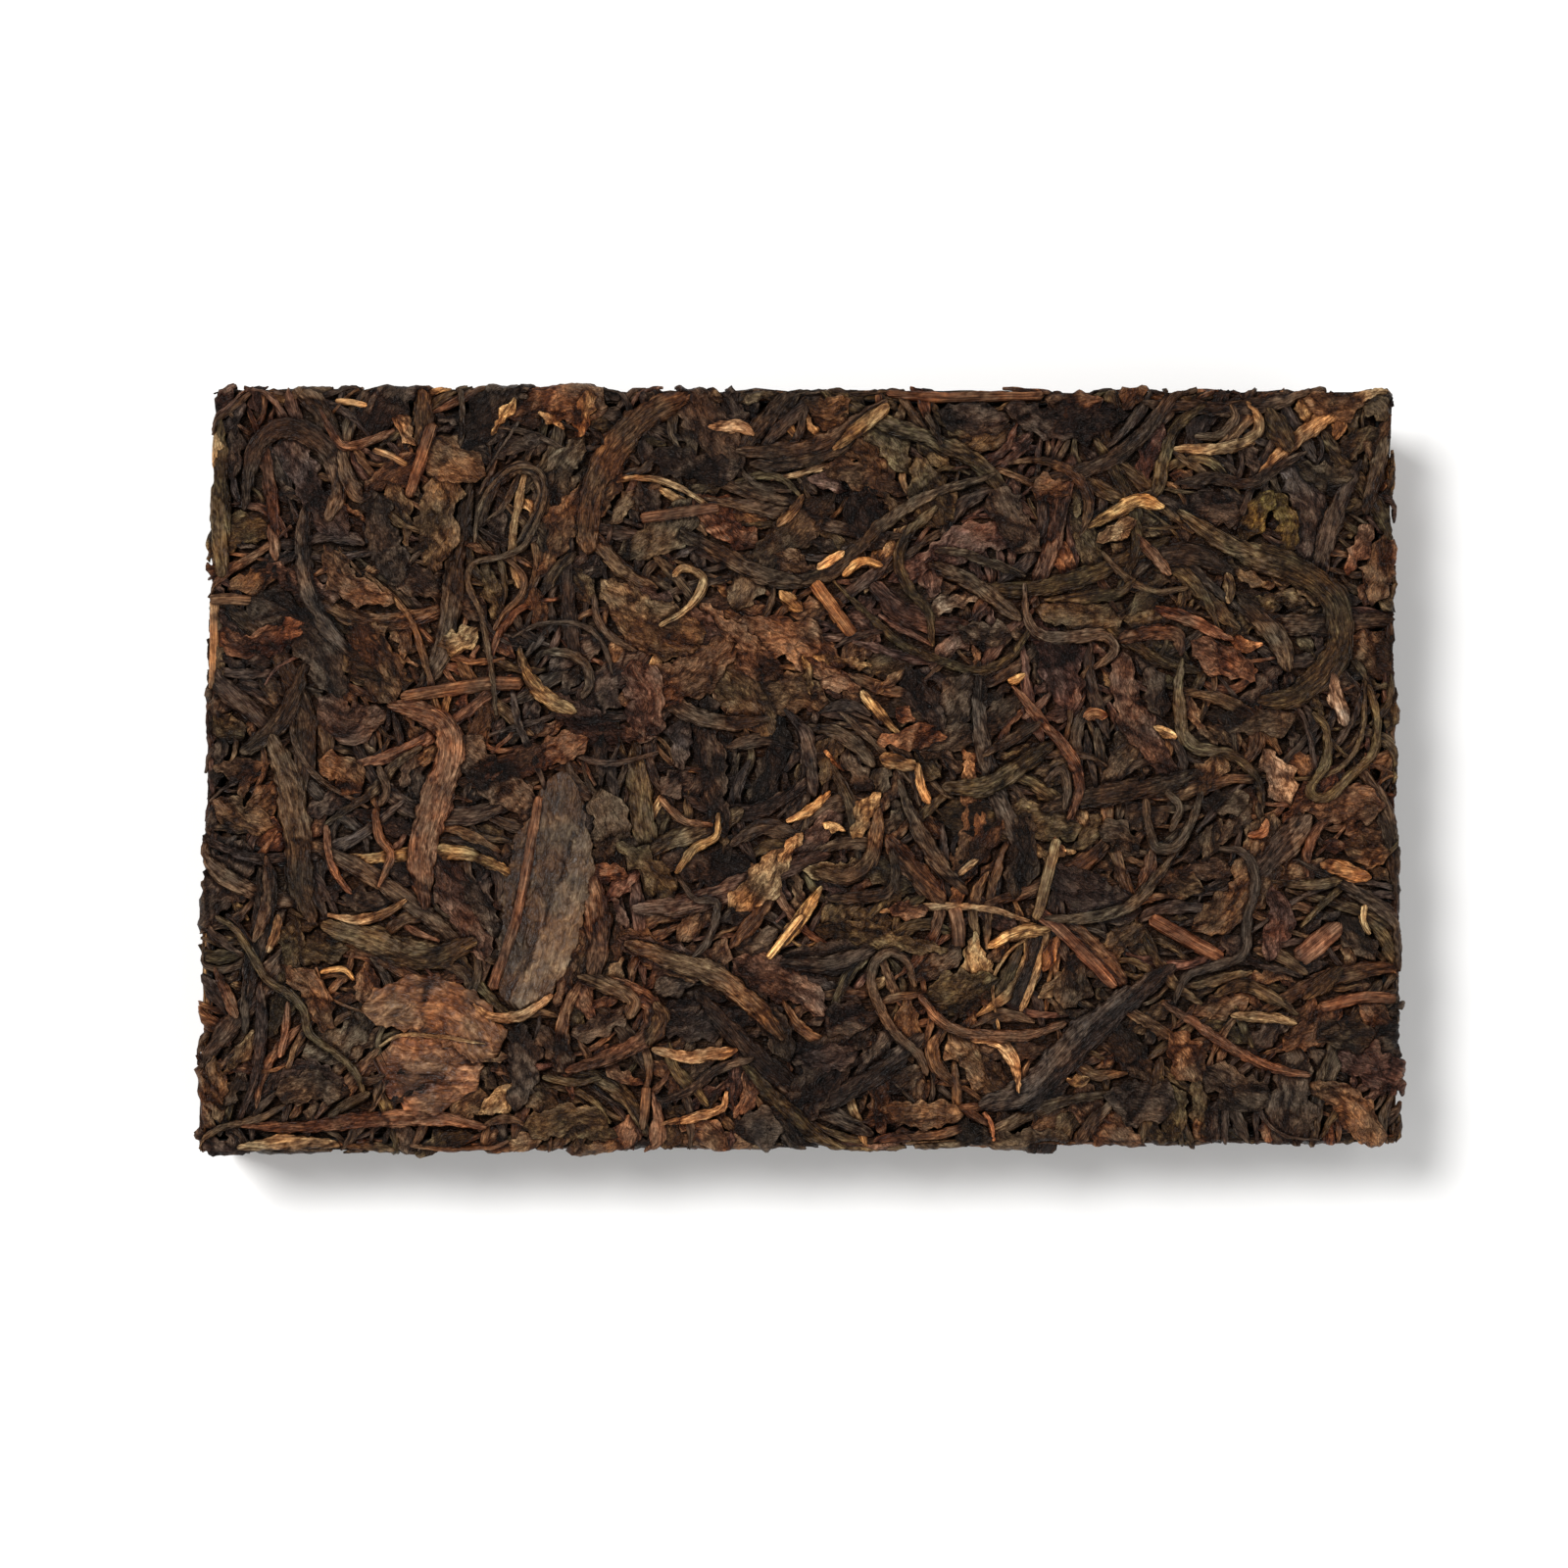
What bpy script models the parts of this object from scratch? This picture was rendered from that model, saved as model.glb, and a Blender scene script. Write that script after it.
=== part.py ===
"""A pressed tea brick: twisted tea leaves, flat leaves and stems pressed into one block in a mould.

The brick lies flat. +Z is up, +X runs along its length, and the origin is the centre of its base.
It is one solid: a core block whose faces are a little below the mould's faces, and the leaves that
show fused onto it at their true size. The base is pressed flat at Z = 0.
"""

import math
import random

import bmesh
import bpy
from mathutils import Vector, noise

MM = 0.001

# The brick as the mould leaves it.
LENGTH = 140 * MM
WIDTH = 90 * MM
THICKNESS = 22 * MM

# The brick came out of its mould slightly out of square: its four corners, seen from above.
CORNERS = {
    "back_left": (-69.4 * MM, 44.7 * MM),
    "back_right": (70.3 * MM, 44.9 * MM),
    "front_right": (69.6 * MM, -44.3 * MM),
    "front_left": (-70.6 * MM, -45.3 * MM),
}

# The core between the leaves.
CORE_SINK = 1.25 * MM  # how far the core's broad faces lie below the mould's faces
CORE_SIDE_SINK = 0.85 * MM
CORE_ROUND = 1.8 * MM  # radius of the core's worn edges
CORE_RELIEF = 0.4 * MM
CORE_BUMP = 9 * MM  # distance from one bump of the core to the next
CORE_CELLS = (17, 11, 3)  # cells of the lattice along the core's length, width and thickness

# Leaves.
STRAND_THICKNESS = 0.62  # of its width, before pressing
STRAND_DEPTH = (2.0 * MM, 2.8 * MM)  # least and most thickness of a twisted leaf
BLADE_DEPTH = 2.0 * MM  # thickness of a flat leaf with the leaves stuck under it
STEM_DEPTH = 2.0 * MM
STATION_GAP = 5.2 * MM  # distance between the cross-sections of a leaf
PRESSED_DEEPER = 0.3 * MM  # some leaves are pressed this much further in than others
# A pressed leaf's cross-section, as shares of its half width and half depth: its top is flattened.
SECTION = ((0.6, 1.0), (1.0, 0.15), (0.0, -1.0), (-1.0, 0.15), (-0.6, 1.0))
TIP_WIDTH = {"strand": 0.35, "blade": 0.3, "stem": 0.85}  # of the leaf's full width
EDGE_INSET = 0.6 * MM  # how far inside the brick's outline scattered leaves end
MERGE_DISTANCE = 0.01 * MM  # the union's corners closer than this become one
MEND_ROUNDS = 6
SEED = 19

# The largest pieces on the top face: form, width, then the points of its route, in millimetres
# from the brick's centre. A strand is a twisted leaf, a blade is a flat leaf.
TOP_PIECES = [
    ("blade", 7.5, (-28.3, -1), (-30, -10), (-30.5, -18), (-32, -24), (-33.5, -28.5)),
    ("blade", 9.5, (-49.5, -34), (-43, -35.5), (-37, -36.5)),
    ("blade", 4.6, (-52, -28.5), (-46, -28.5), (-40, -30.5)),
    ("blade", 8.5, (-53, 16.5), (-50, 12), (-48, 7.5)),
    ("blade", 8.5, (-23.5, 21.5), (-19, 17), (-12, 14.5)),
    ("blade", 7.0, (-20, 12), (-18.3, 8), (-18.5, 3.5)),
    ("blade", 6.0, (-50.5, 32), (-49.5, 27), (-47.5, 21)),
    ("blade", 7.0, (-44.5, 37.5), (-41, 35.5), (-37.5, 34)),
    ("blade", 5.4, (-40, -2), (-33, 0.5), (-25.5, 3)),
    ("blade", 5.4, (-56, 25.5), (-53.5, 21.5), (-48, 19)),
    ("blade", 6.0, (-61, -38), (-57, -37.2), (-53.2, -37.8)),
    ("blade", 6.5, (24, 42), (30, 40.5), (38, 41.5)),
    ("blade", 5.0, (68.3, 27), (67.8, 22.5), (66.8, 19)),
    ("blade", 5.0, (54.5, -14.5), (55.5, -18), (54, -22.5)),
    ("blade", 5.5, (25.5, -5.5), (25.5, -11), (24.5, -15)),
    ("blade", 4.0, (-25.5, 44), (-26, 41), (-26.5, 38.5)),
    ("strand", 4.6, (-62, 3.5), (-60, -2), (-59, -8), (-58.5, -14), (-57, -18.5)),
    ("strand", 3.0, (-58.2, 12), (-59.5, 8), (-62, 4), (-65.5, 1.5)),
    ("strand", 4.5, (-48.5, 7), (-45, 6.2), (-42, 4.5), (-41.5, 1), (-43, -4), (-44.5, -10), (-44, -17)),
    ("strand", 4.0, (-56, -18.5), (-50, -20.5), (-44, -22.3), (-38, -20.3)),
    ("strand", 4.6, (-13.5, 43.8), (-18, 41.5), (-22.5, 37), (-25, 31), (-25.3, 25)),
    ("strand", 3.6, (-68.3, 40.5), (-68.6, 34), (-68.6, 28), (-68, 22)),
    ("strand", 4.8, (44, 30), (50, 26), (58, 23), (62.5, 19.5), (62.8, 13.5), (58.5, 8.5), (53, 7.5)),
    ("strand", 4.6, (20, -39.5), (26, -38), (31, -33), (36, -28.5), (43, -23.5)),
    ("strand", 3.4, (-21, -20.7), (-16, -22.5), (-10, -24.8), (-6, -28), (-2.5, -32)),
    ("strand", 3.0, (-26.3, -25), (-21.5, -25.8), (-17.8, -28), (-18.5, -31.5), (-23, -34), (-28, -35.5)),
    ("strand", 3.4, (-8, 37), (-2, 37), (3, 38), (9.7, 43)),
    ("strand", 2.2, (-15, 27), (-9, 24.6), (-3, 21.8), (3, 22.7), (9.5, 28.5), (15, 32), (22.5, 34.3)),
    ("strand", 1.7, (3.2, 21.8), (10, 15.3), (14, 13), (20, 11.2), (24, 12.5), (26.4, 16)),
    ("strand", 1.8, (15.5, 30.5), (12, 27), (11, 24), (12.5, 20.5), (14.5, 18), (15, 14)),
    ("strand", 2.0, (47.5, 43), (44, 40), (42.3, 36), (41.5, 32.3), (38, 31), (33.5, 28.3)),
    ("strand", 1.8, (24.3, 9.3), (27, 6), (30, 2.5), (32, -1), (31.8, -4), (30.5, -7)),
    ("strand", 1.9, (-38, 28), (-36, 33.3), (-33, 35), (-30.8, 33), (-31, 30), (-33.5, 26)),
    ("strand", 2.3, (-65, -41.7), (-58, -41.8), (-50, -41), (-42, -41), (-37, -42)),
    ("strand", 2.0, (-63.2, -12), (-63.3, -18), (-64.5, -25), (-64.7, -31)),
    ("strand", 3.2, (16, -2.5), (21, -2.5), (26, 0.5), (29, 2.5)),
    ("strand", 3.6, (9.5, -8.3), (12.5, -12), (16, -16)),
    ("strand", 2.6, (1, -12.3), (5, -13), (7.8, -10.5), (8.6, -5)),
    ("strand", 2.0, (44.3, 12.5), (43.8, 8), (45, 2.6), (50, 1.2), (53, -1.5), (53.7, -5)),
    ("strand", 2.8, (-3, -23), (3, -23.3), (8, -21.5)),
    ("stem", 1.9, (-47, 8), (-42, 8.8), (-37, 9.5), (-33.3, 9.6)),
    ("stem", 1.7, (-43.6, 40), (-45, 35.5), (-46.3, 31.6)),
    ("stem", 1.7, (-69, 19.5), (-69, 15), (-69.3, 9)),
    ("stem", 1.6, (-19, 29), (-14, 29.8), (-10.2, 30.3)),
    ("stem", 1.8, (27, -17), (30, -19.5), (33, -22.6), (36, -25.8)),
    ("stem", 1.6, (58, -22.3), (60, -20.6), (62.3, -18.8)),
    ("stem", 2.0, (40.5, -18), (44, -20), (48.5, -22.5)),
    ("stem", 1.6, (60.3, -28.3), (65, -27.2), (69, -27.3)),
    ("stem", 1.8, (10, 44.2), (16, 43.7), (22, 43.9), (28, 44)),
]

# Scattered leaves, between the largest on the top and all over the other faces: columns and rows of
# leaves on a face, the least and most length and width of a leaf, and how far it may turn from the
# face's long side.
TOP_SCATTER = {"columns": 13, "rows": 8, "length": (9, 15), "width": (1.8, 3.2), "turn": 90}
TOP_CLEARANCE = 6.0 * MM  # a scattered leaf's middle is at least this far from the largest pieces
BASE_SCATTER = {"columns": 6, "rows": 5, "length": (14, 24), "width": (2.2, 5.6), "turn": 90}
LONG_SIDE_SCATTER = {"columns": 5, "rows": 2, "length": (14, 24), "width": (1.9, 3.6), "turn": 12}
SHORT_SIDE_SCATTER = {"columns": 3, "rows": 2, "length": (13, 21), "width": (1.9, 3.6), "turn": 12}

LEAF_COLOUR = (0.040, 0.024, 0.014, 1.0)
LEAF_ROUGHNESS = 0.7


class Face:
    """One face of the brick: a centre, the directions of its length and height, and its outward normal."""

    def __init__(self, centre, along, up, half_length, half_height):
        self.centre = Vector(centre)
        self.along = Vector(along)
        self.up = Vector(up)
        self.normal = self.along.cross(self.up)
        self.half_length = half_length
        self.half_height = half_height

    def point(self, s, t, depth):
        """The point s along and t up the face, at a depth below it."""
        return self.centre + self.along * s + self.up * t - self.normal * depth


TOP = Face((0, 0, THICKNESS), (1, 0, 0), (0, 1, 0), LENGTH / 2, WIDTH / 2)
BASE = Face((0, 0, 0), (-1, 0, 0), (0, 1, 0), LENGTH / 2, WIDTH / 2)
FRONT = Face((0, -WIDTH / 2, THICKNESS / 2), (1, 0, 0), (0, 0, 1), LENGTH / 2, THICKNESS / 2)
BACK = Face((0, WIDTH / 2, THICKNESS / 2), (-1, 0, 0), (0, 0, 1), LENGTH / 2, THICKNESS / 2)
RIGHT = Face((LENGTH / 2, 0, THICKNESS / 2), (0, 1, 0), (0, 0, 1), WIDTH / 2, THICKNESS / 2)
LEFT = Face((-LENGTH / 2, 0, THICKNESS / 2), (0, -1, 0), (0, 0, 1), WIDTH / 2, THICKNESS / 2)


def clear_scene():
    """Starts from an empty scene."""
    for thing in list(bpy.data.objects):
        bpy.data.objects.remove(thing, do_unlink=True)


def leaf_material():
    """The brick's dark brown leaf."""
    material = bpy.data.materials.new("pressed_leaf")
    material.use_nodes = True
    shader = material.node_tree.nodes["Principled BSDF"]
    shader.inputs["Base Color"].default_value = LEAF_COLOUR
    shader.inputs["Roughness"].default_value = LEAF_ROUGHNESS
    shader.inputs["Metallic"].default_value = 0.0
    return material


def new_object(name, bm):
    """Makes an object from a bmesh, with its faces pointing out."""
    bmesh.ops.recalc_face_normals(bm, faces=bm.faces)
    mesh = bpy.data.meshes.new(name)
    bm.to_mesh(mesh)
    bm.free()
    thing = bpy.data.objects.new(name, mesh)
    bpy.context.scene.collection.objects.link(thing)
    return thing


def outline_point(u, v):
    """A point inside the brick's four corners; u and v run from -1 to 1 along its length and width."""
    left, back = (1 - u) / 2, (1 + v) / 2
    shares = {
        "back_left": left * back,
        "back_right": (1 - left) * back,
        "front_right": (1 - left) * (1 - back),
        "front_left": left * (1 - back),
    }
    x = sum(CORNERS[name][0] * share for name, share in shares.items())
    y = sum(CORNERS[name][1] * share for name, share in shares.items())
    return x, y


def lattice(cells, half):
    """Positions of a lattice's lines from -half to half, with one more line close to either end."""
    inner = half - CORE_ROUND
    return [-half] + [inner * (2 * i / cells - 1) for i in range(cells + 1)] + [half]


def core_point(x, y, z, half):
    """A lattice point moved to the core's surface: rounded edges, out of square, and uneven."""
    p = Vector((x, y, z))
    inner = Vector([max(-h + CORE_ROUND, min(h - CORE_ROUND, c)) for c, h in zip(p, half)])
    outward = (p - inner).normalized()
    p = inner + outward * CORE_ROUND
    rough = noise.fractal(p / CORE_BUMP, 0.9, 2.1, 3) * CORE_RELIEF
    p += outward * max(-CORE_RELIEF, min(CORE_RELIEF, rough))
    x, y = outline_point(p.x / (LENGTH / 2), p.y / (WIDTH / 2))
    return Vector((x, y, p.z + THICKNESS / 2))


def make_core():
    """The block under the leaves: a lattice over the six faces of a box."""
    half = Vector(
        (LENGTH / 2 - CORE_SIDE_SINK, WIDTH / 2 - CORE_SIDE_SINK, THICKNESS / 2 - CORE_SINK)
    )
    lines = [lattice(n, h) for n, h in zip(CORE_CELLS, half)]
    last = [len(line) - 1 for line in lines]
    bm = bmesh.new()
    corners = {}

    def corner(index):
        if index not in corners:
            place = [line[i] for line, i in zip(lines, index)]
            corners[index] = bm.verts.new(core_point(*place, half))
        return corners[index]

    for axis in range(3):
        across, up = [a for a in range(3) if a != axis]
        for end in (0, last[axis]):
            for i in range(last[across]):
                for j in range(last[up]):
                    quad = []
                    for di, dj in ((0, 0), (1, 0), (1, 1), (0, 1)):
                        index = [0, 0, 0]
                        index[axis], index[across], index[up] = end, i + di, j + dj
                        quad.append(corner(tuple(index)))
                    bm.faces.new(quad)
    return new_object("core", bm)


def smooth_route(points, gap):
    """Points a gap apart along a smooth curve through the route's own points."""
    ends = [points[0] * 2 - points[1], *points, points[-1] * 2 - points[-2]]
    curve = []
    for a, b, c, d in zip(ends, ends[1:], ends[2:], ends[3:]):
        steps = max(1, round((c - b).length / gap))
        for i in range(steps):
            t = i / steps
            curve.append(
                (b * 2 + (c - a) * t + (a * 2 - b * 5 + c * 4 - d) * t**2 + (b * 3 - a - c * 3 + d) * t**3)
                / 2
            )
    curve.append(points[-1])
    return curve


def width_share(form, t):
    """A leaf's width at t, from 0 to 1 along it, as a share of its full width."""
    tip = TIP_WIDTH[form]
    return tip + (1 - tip) * math.sin(math.pi * t) ** (0.55 if form == "blade" else 0.4)


def piece_depth(form, width):
    """How thick a piece is, measured into the brick."""
    if form == "blade":
        return BLADE_DEPTH
    if form == "stem":
        return STEM_DEPTH
    return max(STRAND_DEPTH[0], min(STRAND_DEPTH[1], width * STRAND_THICKNESS))


def make_piece(name, face, form, width, route, deeper):
    """A leaf or stem along a route on a face: a flattened section swept along it, narrower at its ends."""
    curve = smooth_route([Vector(p) for p in route], STATION_GAP)
    depth = piece_depth(form, width)
    bm = bmesh.new()
    rings = []
    for i, p in enumerate(curve):
        ahead = curve[min(i + 1, len(curve) - 1)] - curve[max(i - 1, 0)]
        side = Vector((-ahead.y, ahead.x)).normalized()
        share = width_share(form, i / (len(curve) - 1))
        half_width = width / 2 * share
        half_depth = depth / 2 * share**0.4
        ring = []
        for across, lift in SECTION:
            at = p + side * half_width * across
            ring.append(bm.verts.new(face.point(at.x, at.y, depth / 2 + deeper - half_depth * lift)))
        rings.append(ring)
    for ring, following in zip(rings, rings[1:]):
        for k in range(len(SECTION)):
            n = (k + 1) % len(SECTION)
            bm.faces.new((ring[k], ring[n], following[n], following[k]))
    bm.faces.new(rings[0])
    bm.faces.new(rings[-1])
    return new_object(name, bm)


def scattered_routes(face, rule, rng):
    """Leaves spread evenly over a face: one in each cell of a grid, turned and bent at random."""
    across, up = face.half_length * 2 / rule["columns"], face.half_height * 2 / rule["rows"]
    pieces = []
    for row in range(rule["rows"]):
        for column in range(rule["columns"]):
            length = rng.uniform(*rule["length"]) * MM
            width = rng.uniform(*rule["width"]) * MM
            heading = math.radians(rng.uniform(-rule["turn"], rule["turn"]))
            bend = rng.uniform(-0.9, 0.9) * min(1.0, rule["turn"] / 45)
            s = -face.half_length + (column + rng.uniform(0.3, 0.7)) * across
            t = -face.half_height + (row + rng.uniform(0.3, 0.7)) * up
            forward = Vector((math.cos(heading), math.sin(heading)))
            sideways = Vector((-forward.y, forward.x))
            route = []
            for step in (-0.5, -0.17, 0.17, 0.5):
                p = Vector((s, t)) + forward * length * step + sideways * length * bend * (step**2 - 0.1)
                room_s = face.half_length - EDGE_INSET - width / 2
                room_t = face.half_height - EDGE_INSET - width / 2
                route.append((max(-room_s, min(room_s, p.x)), max(-room_t, min(room_t, p.y))))
            form = "blade" if width > 4 * MM else "strand"
            pieces.append((form, width, route))
    return pieces


def is_clear(route, taken):
    """Whether a route's middle keeps its distance from the points already taken."""
    middle = (Vector(route[1]) + Vector(route[2])) / 2
    return all((middle - point).length > TOP_CLEARANCE for point in taken)


def make_pieces():
    """Every leaf and stem that shows, each as its own closed mesh."""
    rng = random.Random(SEED)
    laid = []
    taken = []
    for form, width, *route in TOP_PIECES:
        route = [(x * MM, y * MM) for x, y in route]
        taken.extend(smooth_route([Vector(p) for p in route], STATION_GAP))
        laid.append((TOP, form, width * MM, route))
    for form, width, route in scattered_routes(TOP, TOP_SCATTER, rng):
        if is_clear(route, taken):
            laid.append((TOP, form, width, route))
    for face, rule in (
        (BASE, BASE_SCATTER),
        (FRONT, LONG_SIDE_SCATTER),
        (BACK, LONG_SIDE_SCATTER),
        (RIGHT, SHORT_SIDE_SCATTER),
        (LEFT, SHORT_SIDE_SCATTER),
    ):
        for form, width, route in scattered_routes(face, rule, rng):
            laid.append((face, form, width, route))
    pieces = []
    for number, (face, form, width, route) in enumerate(laid):
        deeper = rng.uniform(0, PRESSED_DEEPER)
        if face is BASE:
            deeper = -rng.uniform(0.1, 1) * PRESSED_DEEPER
        pieces.append(make_piece(f"piece_{number}", face, form, width, route, deeper))
    return pieces


def make_table():
    """A block under Z = 0 that cuts the base flat, as the mould's floor does."""
    bm = bmesh.new()
    bmesh.ops.create_cube(bm, size=1.0)
    depth = THICKNESS
    for vert in bm.verts:
        vert.co = Vector((vert.co.x * LENGTH * 1.2, vert.co.y * WIDTH * 1.2, (vert.co.z - 0.5) * depth))
    return new_object("table", bm)


def apply_modifiers(thing):
    """Replaces an object's mesh by its mesh with the modifiers in place."""
    view = bpy.context.evaluated_depsgraph_get()
    mesh = bpy.data.meshes.new_from_object(thing.evaluated_get(view))
    thing.modifiers.clear()
    thing.data = mesh


def fuse(core, pieces, table):
    """Joins the pieces to the core in one Boolean union, and cuts the base flat."""
    leaves = bpy.data.collections.new("leaves")
    bpy.context.scene.collection.children.link(leaves)
    for piece in pieces:
        leaves.objects.link(piece)
    union = core.modifiers.new("union", "BOOLEAN")
    union.operation = "UNION"
    union.operand_type = "COLLECTION"
    union.collection = leaves
    union.solver = "MANIFOLD"
    cut = core.modifiers.new("cut", "BOOLEAN")
    cut.operation = "DIFFERENCE"
    cut.object = table
    cut.solver = "MANIFOLD"
    apply_modifiers(core)
    for thing in [*pieces, table]:
        bpy.data.objects.remove(thing, do_unlink=True)
    bpy.data.collections.remove(leaves)


def connected_groups(bm):
    """The mesh's separate shells, each as a list of vertices."""
    groups, seen = [], set()
    for start in bm.verts:
        if start in seen:
            continue
        seen.add(start)
        group, waiting = [], [start]
        while waiting:
            vert = waiting.pop()
            group.append(vert)
            for edge in vert.link_edges:
                other = edge.other_vert(vert)
                if other not in seen:
                    seen.add(other)
                    waiting.append(other)
        groups.append(group)
    return groups


def mend(bm):
    """Where the surface touches itself along an edge, takes out the faces there and closes the gap."""
    for _ in range(MEND_ROUNDS):
        bad = [edge for edge in bm.edges if not edge.is_manifold]
        if not bad:
            return
        corners = {vert for edge in bad for vert in edge.verts}
        faces = {face for vert in corners for face in vert.link_faces}
        bmesh.ops.delete(bm, geom=list(faces), context="FACES")
        loose = [edge for edge in bm.edges if not edge.link_faces]
        bmesh.ops.delete(bm, geom=loose, context="EDGES")
        loose = [vert for vert in bm.verts if not vert.link_faces]
        bmesh.ops.delete(bm, geom=loose, context="VERTS")
        rims = [edge for edge in bm.edges if len(edge.link_faces) == 1]
        bmesh.ops.holes_fill(bm, edges=rims, sides=0)
        bmesh.ops.triangulate(bm, faces=bm.faces)


def keep_outer_shell(thing):
    """Fills sealed hollows and drops loose scraps, by keeping the largest shell alone."""
    bm = bmesh.new()
    bm.from_mesh(thing.data)
    bmesh.ops.triangulate(bm, faces=bm.faces)
    bmesh.ops.remove_doubles(bm, verts=bm.verts, dist=MERGE_DISTANCE)
    bmesh.ops.dissolve_degenerate(bm, edges=bm.edges, dist=MERGE_DISTANCE)
    bmesh.ops.triangulate(bm, faces=bm.faces)
    mend(bm)
    groups = connected_groups(bm)
    largest = max(groups, key=len)
    scraps = [vert for group in groups if group is not largest for vert in group]
    bmesh.ops.delete(bm, geom=scraps, context="VERTS")
    bmesh.ops.recalc_face_normals(bm, faces=bm.faces)
    bm.to_mesh(thing.data)
    bm.free()


def build():
    """Builds the brick."""
    clear_scene()
    brick = make_core()
    fuse(brick, make_pieces(), make_table())
    keep_outer_shell(brick)
    brick.name = "tea_brick"
    brick.data.materials.clear()
    brick.data.materials.append(leaf_material())


build()
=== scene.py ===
"""The looks of a pressed tea brick: twisted leaves, flat leaves, stems and crumbs pressed into a block.

Every leaf is a closed mesh laid on one of the brick's six faces. The leaves on top are laid first,
and each later one dips under those that it meets, as leaves do in a mould.
"""

import math

import bpy
import numpy as np
from mathutils import Matrix, Vector, noise


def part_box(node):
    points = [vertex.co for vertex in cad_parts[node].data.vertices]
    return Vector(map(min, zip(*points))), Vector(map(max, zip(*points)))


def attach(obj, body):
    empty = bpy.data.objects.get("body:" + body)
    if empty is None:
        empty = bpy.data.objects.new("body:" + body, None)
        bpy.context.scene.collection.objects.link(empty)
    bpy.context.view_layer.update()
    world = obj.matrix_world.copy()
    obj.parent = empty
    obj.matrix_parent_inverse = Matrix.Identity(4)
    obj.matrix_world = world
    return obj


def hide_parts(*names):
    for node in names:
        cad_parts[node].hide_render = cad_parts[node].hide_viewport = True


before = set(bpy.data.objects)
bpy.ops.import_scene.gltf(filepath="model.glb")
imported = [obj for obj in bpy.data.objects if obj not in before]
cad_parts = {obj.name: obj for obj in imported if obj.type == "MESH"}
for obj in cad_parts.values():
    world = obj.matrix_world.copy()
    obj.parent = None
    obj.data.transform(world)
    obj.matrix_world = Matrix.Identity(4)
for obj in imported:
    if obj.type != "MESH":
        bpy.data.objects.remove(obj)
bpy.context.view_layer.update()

MM = 0.001
BODY = "root"
NODE = "tea_brick"
SEED = 11

LOW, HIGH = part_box(NODE)
THICKNESS = (HIGH.z - LOW.z) / MM

# The brick's four corners seen from above, in millimetres. It is slightly out of square.
BACK_LEFT = (-69.6, 44.9)
BACK_RIGHT = (70.2, 45.0)
FRONT_RIGHT = (69.8, -44.5)
FRONT_LEFT = (-70.6, -45.3)

EDGE_RADIUS = 1.1  # how round the brick's edges are
OVERHANG = 4.0  # how far a leaf may reach round an edge
GRID = 0.2  # spacing of the grid that knows how deep the next leaf has to lie
OPEN = -0.6  # depth in that grid where no leaf lies yet
UNEVEN = 0.35  # how uneven the mould leaves the faces
SIDE_SINK = 0.45  # how far a side's leaves lie under those that reach round its edges
BASE_SINK = 0.6  # how far the base's lowest leaves lie above the floor
CORE_SINK = 1.45  # how far the core's top and base lie under the mould's faces
CORE_SIDE_SINK = 2.1  # and how far its sides do
COVERS = 0.85  # the share of a leaf's width that covers what is under it
CROWDED = 0.55  # where more than this share of a new leaf is covered already, it is a smaller one
HOLE = 5  # the holes that are filled first are about twice this many cells across
TRIES = 70  # open cells that are looked at before each round of leaves
ROUND = 6  # leaves laid in a round, on those of the cells with the largest holes
PATCH = 9.0  # size of the patches in which most leaves have the same tone
ALIKE = 0.6  # the share of a patch's leaves that have its tone
SHADE_DEPTH = 1.5  # a leaf's flank is darkest this far below its top
SHADE_REACH = 0.3  # a leaf is darker within this distance of the leaf that presses on it
LEAST_LIGHT = 0.3  # the share of its brightness that a leaf keeps where it is darkest
FOLD_HEIGHT = 0.16  # how far a fold lifts one side of a leaf and lowers the other
FOLD_PAINTED_LIGHT = 0.16  # painted light on the upper side of a fold and painted shade on the lower: how much brighter and how much darker they are
FOLD_PAINTED_SHADE = 0.6  # how dark the painted shade in the hollow beside a fold is
FLOOR_GAP = 0.2  # how far the floor lies below the brick, so that their faces don't coincide
CORE_ROUND = 2  # how round the core's edges are
CORE_BUMP = 0.35  # how uneven the core is

PAINTED_LIGHT_GAIN = 3.35  # gain of the painted light and shade: how bright a leaf's lit ridges are, against its own tone
PAINTED_SHADE_POWER = 1.8  # how fast that painted light falls into painted shade towards a crease
WARM_PATCH = (1.34, 0.95, 0.66, 1)  # what the tone is multiplied by where a leaf is redder
COOL_PATCH = (0.93, 0.99, 1.04, 1)  # and where it is greener
RIDGE_HIGHLIGHT = (0.2, 0.135, 0.085, 1)  # colour of the painted highlight on the fibres of the most brightly lit ridges

# Tones of the leaves, as sRGB values.
TONES = {
    "black": (35, 23, 16),
    "blue": (38, 27, 21),
    "slate": (45, 31, 20),
    "olive": (50, 36, 20),
    "brown": (63, 40, 23),
    "rust": (70, 42, 25),
    "russet": (76, 47, 29),
    "plum": (56, 35, 26),
    "tan": (102, 73, 46),
    "straw": (130, 92, 55),
    "orange": (112, 68, 38),
    "pale": (98, 76, 58),
    "moss": (70, 54, 24),
}

# How often each tone comes up among the leaves that no route is given for.
TONE_SHARES = {
    "black": 0.18,
    "blue": 0.08,
    "slate": 0.17,
    "olive": 0.14,
    "brown": 0.24,
    "rust": 0.07,
    "plum": 0.07,
    "tan": 0.03,
    "orange": 0.006,
}

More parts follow.
